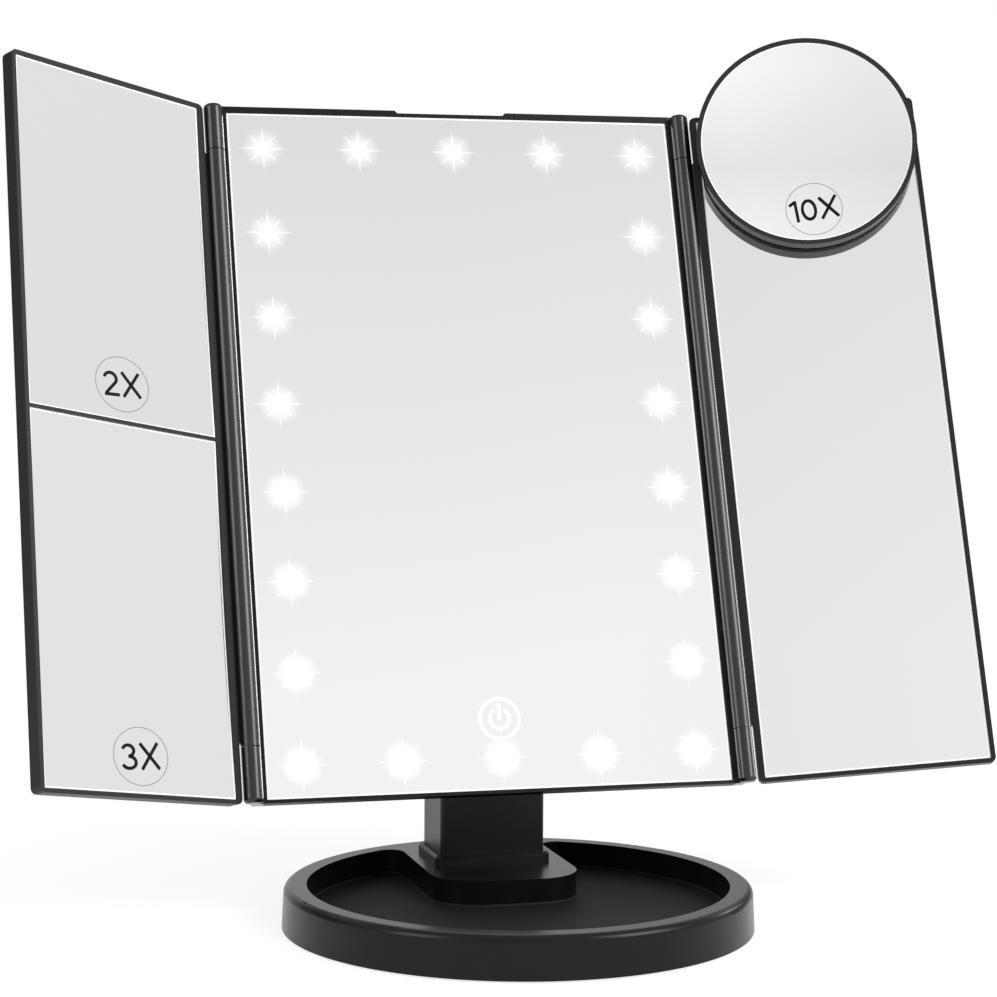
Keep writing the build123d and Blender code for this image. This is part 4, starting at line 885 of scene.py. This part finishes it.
def place_mark(name, text, place, radius, stretch, body):
    """A printed mark on its clear film: a very thin oval disc, its edge bevelled at the last 2%."""
    outline = radius * np.array([0.0, 0.9, 0.96, 0.98, 1.0, 1.0, 0.0])
    height = MARK_THICK * np.array([1.0, 1.0, 1.0, 1.0, 0.7, 0.0, 0.0])
    points, faces = turned_solid(outline, height, FILM_TURNS, stretch)
    disc = shell(f"{name}_film", points, faces, place, film, body).data
    corners = np.empty(len(disc.loops), int)
    disc.loops.foreach_get("vertex_index", corners)
    uv = np.zeros((len(corners), 2))
    uv[:, 0] = np.hypot(points[corners, 0] / stretch, points[corners, 1]) / radius
    disc.uv_layers.new(name="share_of_radius").data.foreach_set("uv", uv.ravel())
    points, faces = figures(text, stretch)
    shell(f"{name}_print", points, faces, place, ink, body)


def on_hollow(plane, x, y, from_middle, radius, reach, depth, recess=0.0):
    """Place of a flat film on a hollow glass at (x, y), tipped as the glass is there.

    from_middle is how far (x, y) lies above the hollow's middle. A flat film of that radius touches
    the hollow at its border, hollow(0) - hollow(radius) above the glass under its middle. The film
    stays FILM_CLEAR off the glass.
    """
    ball = (reach**2 + depth**2) / (2 * depth)
    lift = hollow(0.0, reach, depth) - hollow(radius, reach, depth) + FILM_CLEAR
    behind = recess + hollow(abs(from_middle), reach, depth)
    tip = Matrix.Rotation(math.asin(from_middle / ball), 4, "X")
    return plane @ Matrix.Translation((x, y, float(lift - behind))) @ tip


upper_place = on_hollow(
    WING["left"],
    *MARK_2X,
    MARK_2X[1] - (DIVIDER_HIGH + GLASS_TALL) / 2,
    MARK_STRETCH * MARK_RADIUS,
    pane_reach(DIVIDER_HIGH, GLASS_TALL),
    UPPER_DISH,
)
lower_place = on_hollow(
    WING["left"],
    *MARK_3X,
    MARK_3X[1] - DIVIDER_LOW / 2,
    MARK_STRETCH * MARK_RADIUS,
    pane_reach(0.0, DIVIDER_LOW),
    LOWER_DISH,
)
lens_place = on_hollow(
    LENS,
    0,
    -LENS_MARK_BELOW,
    -LENS_MARK_BELOW,
    LENS_MARK_RADIUS,
    LENS_RADIUS,
    LENS_SAG,
    LENS_RECESS,
)
by_hand = Matrix.Rotation(math.radians(MARK_ASKEW), 4, "Z")
place_mark("mark_2x", "2X", upper_place @ by_hand, MARK_RADIUS, MARK_STRETCH, "left_wing")
place_mark("mark_3x", "3X", lower_place @ by_hand, MARK_RADIUS, MARK_STRETCH, "left_wing")
place_mark("mark_10x", "10X", lens_place @ by_hand, LENS_MARK_RADIUS, 1.0, "magnifier")


# --------------------------------------------------------------------------- camera
CAMERA_PLACE = Vector((-239.0, -846.3, 203.4))  # millimetres
CAMERA_YAW, CAMERA_PITCH, CAMERA_ROLL = (math.radians(angle) for angle in (15.30, -4.11, 0.34))
FOCAL_LENGTH, SENSOR_WIDTH = 98.16, 36.0


def make_camera():
    """Camera at the viewing angle: a long lens 0.9 m away, a little above and to the left."""
    yaw, pitch, roll = CAMERA_YAW, CAMERA_PITCH, CAMERA_ROLL
    level_forward = Vector((math.sin(yaw), math.cos(yaw), 0))
    forward = math.cos(pitch) * level_forward + math.sin(pitch) * Vector((0, 0, 1))
    level_right = Vector((math.cos(yaw), -math.sin(yaw), 0))
    level_up = level_right.cross(forward)
    right = math.cos(roll) * level_right + math.sin(roll) * level_up
    up = math.cos(roll) * level_up - math.sin(roll) * level_right
    data = bpy.data.cameras.new("studio_camera")
    data.lens = FOCAL_LENGTH
    data.sensor_width = SENSOR_WIDTH
    camera = bpy.data.objects.new("studio_camera", data)
    turn = Matrix((right, up, -forward)).transposed().to_4x4()
    camera.matrix_world = Matrix.Translation(CAMERA_PLACE * MM) @ turn
    bpy.context.scene.collection.objects.link(camera)
    bpy.context.scene.camera = camera


make_camera()


# --------------------------------------------------------------------------- studio
LIT_MIDDLE = Vector((0, 50, 150))         # millimetres
FLOOR_HALF, FLOOR_GLOW = 6.0, 0.76        # metres, and how much light of its own the eye gets


def softbox(name, azimuth, elevation, distance, wide, tall, watts):
    """Softbox that faces the middle of the panel.

    Azimuth is 0 in front and 90 degrees at +X. Sizes are in metres.
    """
    target = LIT_MIDDLE * MM
    turn, rise = math.radians(azimuth), math.radians(elevation)
    away = Vector(
        (math.sin(turn) * math.cos(rise), -math.cos(turn) * math.cos(rise), math.sin(rise))
    )
    data = bpy.data.lights.new(name, "AREA")
    data.shape = "RECTANGLE"
    data.size, data.size_y = wide, tall
    data.energy = watts
    lamp = bpy.data.objects.new(name, data)
    facing = away.to_track_quat("Z", "Y").to_matrix().to_4x4()
    lamp.matrix_world = Matrix.Translation(target + distance * away) @ facing
    bpy.context.scene.collection.objects.link(lamp)


softbox("softbox_right", azimuth=49, elevation=31, distance=1.6, wide=0.75, tall=0.9, watts=16.0)
softbox("softbox_left", azimuth=-66, elevation=23, distance=1.5, wide=0.5, tall=0.9, watts=6.0)


# shades of the room, over the components of a direction
CEILING_Z, CEILING_REACH = 0.68, 0.19     # the ceiling is shaded near this height
CEILING_SHADE = {"From_Min": -0.3, "From_Max": 0.25, "To_Min": 0.86, "To_Max": 0.76}
CEILING_OPEN = 0.97
WALL_Y = 0.6                              # the walls beyond the object are dim near here
WALL_SHADE = {"From_Min": 0.2, "From_Max": 0.36, "To_Min": 0.3, "To_Max": 1.0}
LEFT_SHADE = {"From_Min": -0.35, "From_Max": -0.05, "To_Min": 0.87, "To_Max": 1.0}
RIGHT_SHADE = {"From_Min": 0.3, "From_Max": 1.0, "To_Min": 1.0, "To_Max": 0.84}


def studio_world():
    """Pale studio round the object: white for the camera, softly shaded for what reflects it.

    The level is the product of the ceiling, which is shaded near CEILING_Z and more so to the
    right, of the walls beyond the object, and of slightly shaded left and right walls.
    """
    world = bpy.data.worlds.new("pale_studio")
    world.use_nodes = True
    tree = world.node_tree
    tree.nodes.clear()
    direction = add(tree, "TexCoord").outputs["Generated"]
    across, away, up = add(tree, "SeparateXYZ", Vector=direction).outputs
    from_shade = add(tree, "Math", SIZE_OF, i0=add(tree, "Math", MINUS, i0=up, i1=CEILING_Z))
    ceiling = add(
        tree,
        "MapRange",
        Value=from_shade,
        From_Max=CEILING_REACH,
        To_Min=add(tree, "MapRange", Value=across, **CEILING_SHADE),
        To_Max=CEILING_OPEN,
    )
    from_wall = add(tree, "Math", SIZE_OF, i0=add(tree, "Math", MINUS, i0=away, i1=WALL_Y))
    walls = add(tree, "MapRange", SMOOTH_STEP, Value=from_wall, **WALL_SHADE)
    left = add(tree, "MapRange", Value=across, **LEFT_SHADE)
    right = add(tree, "MapRange", Value=across, **RIGHT_SHADE)
    sides = add(tree, "Math", TIMES, i0=left, i1=right)
    level = add(tree, "Math", TIMES, i0=ceiling, i1=add(tree, "Math", TIMES, i0=walls, i1=sides))
    seen = add(tree, "LightPath").outputs["Is Camera Ray"]
    strength = add(tree, "Mix", i0=seen, i2=level, i3=1.0)
    background = add(tree, "Background", Color=linear("#ffffff"), Strength=strength)
    add(tree, "OutputWorld", Surface=background)
    bpy.context.scene.world = world


def studio_floor():
    """Paper sweep: to the eye and in mirrors white, with a soft shadow. It lights as pale paper."""
    half = FLOOR_HALF
    mesh = bpy.data.meshes.new("studio_floor")
    corners = [(-half, -half, 0), (half, -half, 0), (half, half, 0), (-half, half, 0)]
    mesh.from_pydata(corners, [], [(0, 1, 2, 3)])
    floor = bpy.data.objects.new("studio_floor", mesh)
    bpy.context.scene.collection.objects.link(floor)
    material, tree = new_material("white_paper_sweep")
    path = add(tree, "LightPath").outputs
    seen = add(tree, "Math", LARGER, i0=path["Is Camera Ray"], i1=path["Is Glossy Ray"])
    seen = add(tree, "Math", LARGER, i0=seen, i1=path["Is Transmission Ray"])
    paper = add(tree, "BsdfDiffuse", Color=linear("#d8d8d8"))
    shaded = add(tree, "BsdfDiffuse", Color=linear("#a0a0a0"))
    glow = add(tree, "Emission", Color=linear("#ffffff"), Strength=FLOOR_GLOW)
    lifted = add(tree, "AddShader", i0=shaded, i1=glow)
    surface = add(tree, "MixShader", Fac=seen, i1=paper, i2=lifted)
    add(tree, "OutputMaterial", Surface=surface)
    mesh.materials.append(material)


studio_world()
studio_floor()

bpy.context.scene.view_settings.view_transform = "Standard"
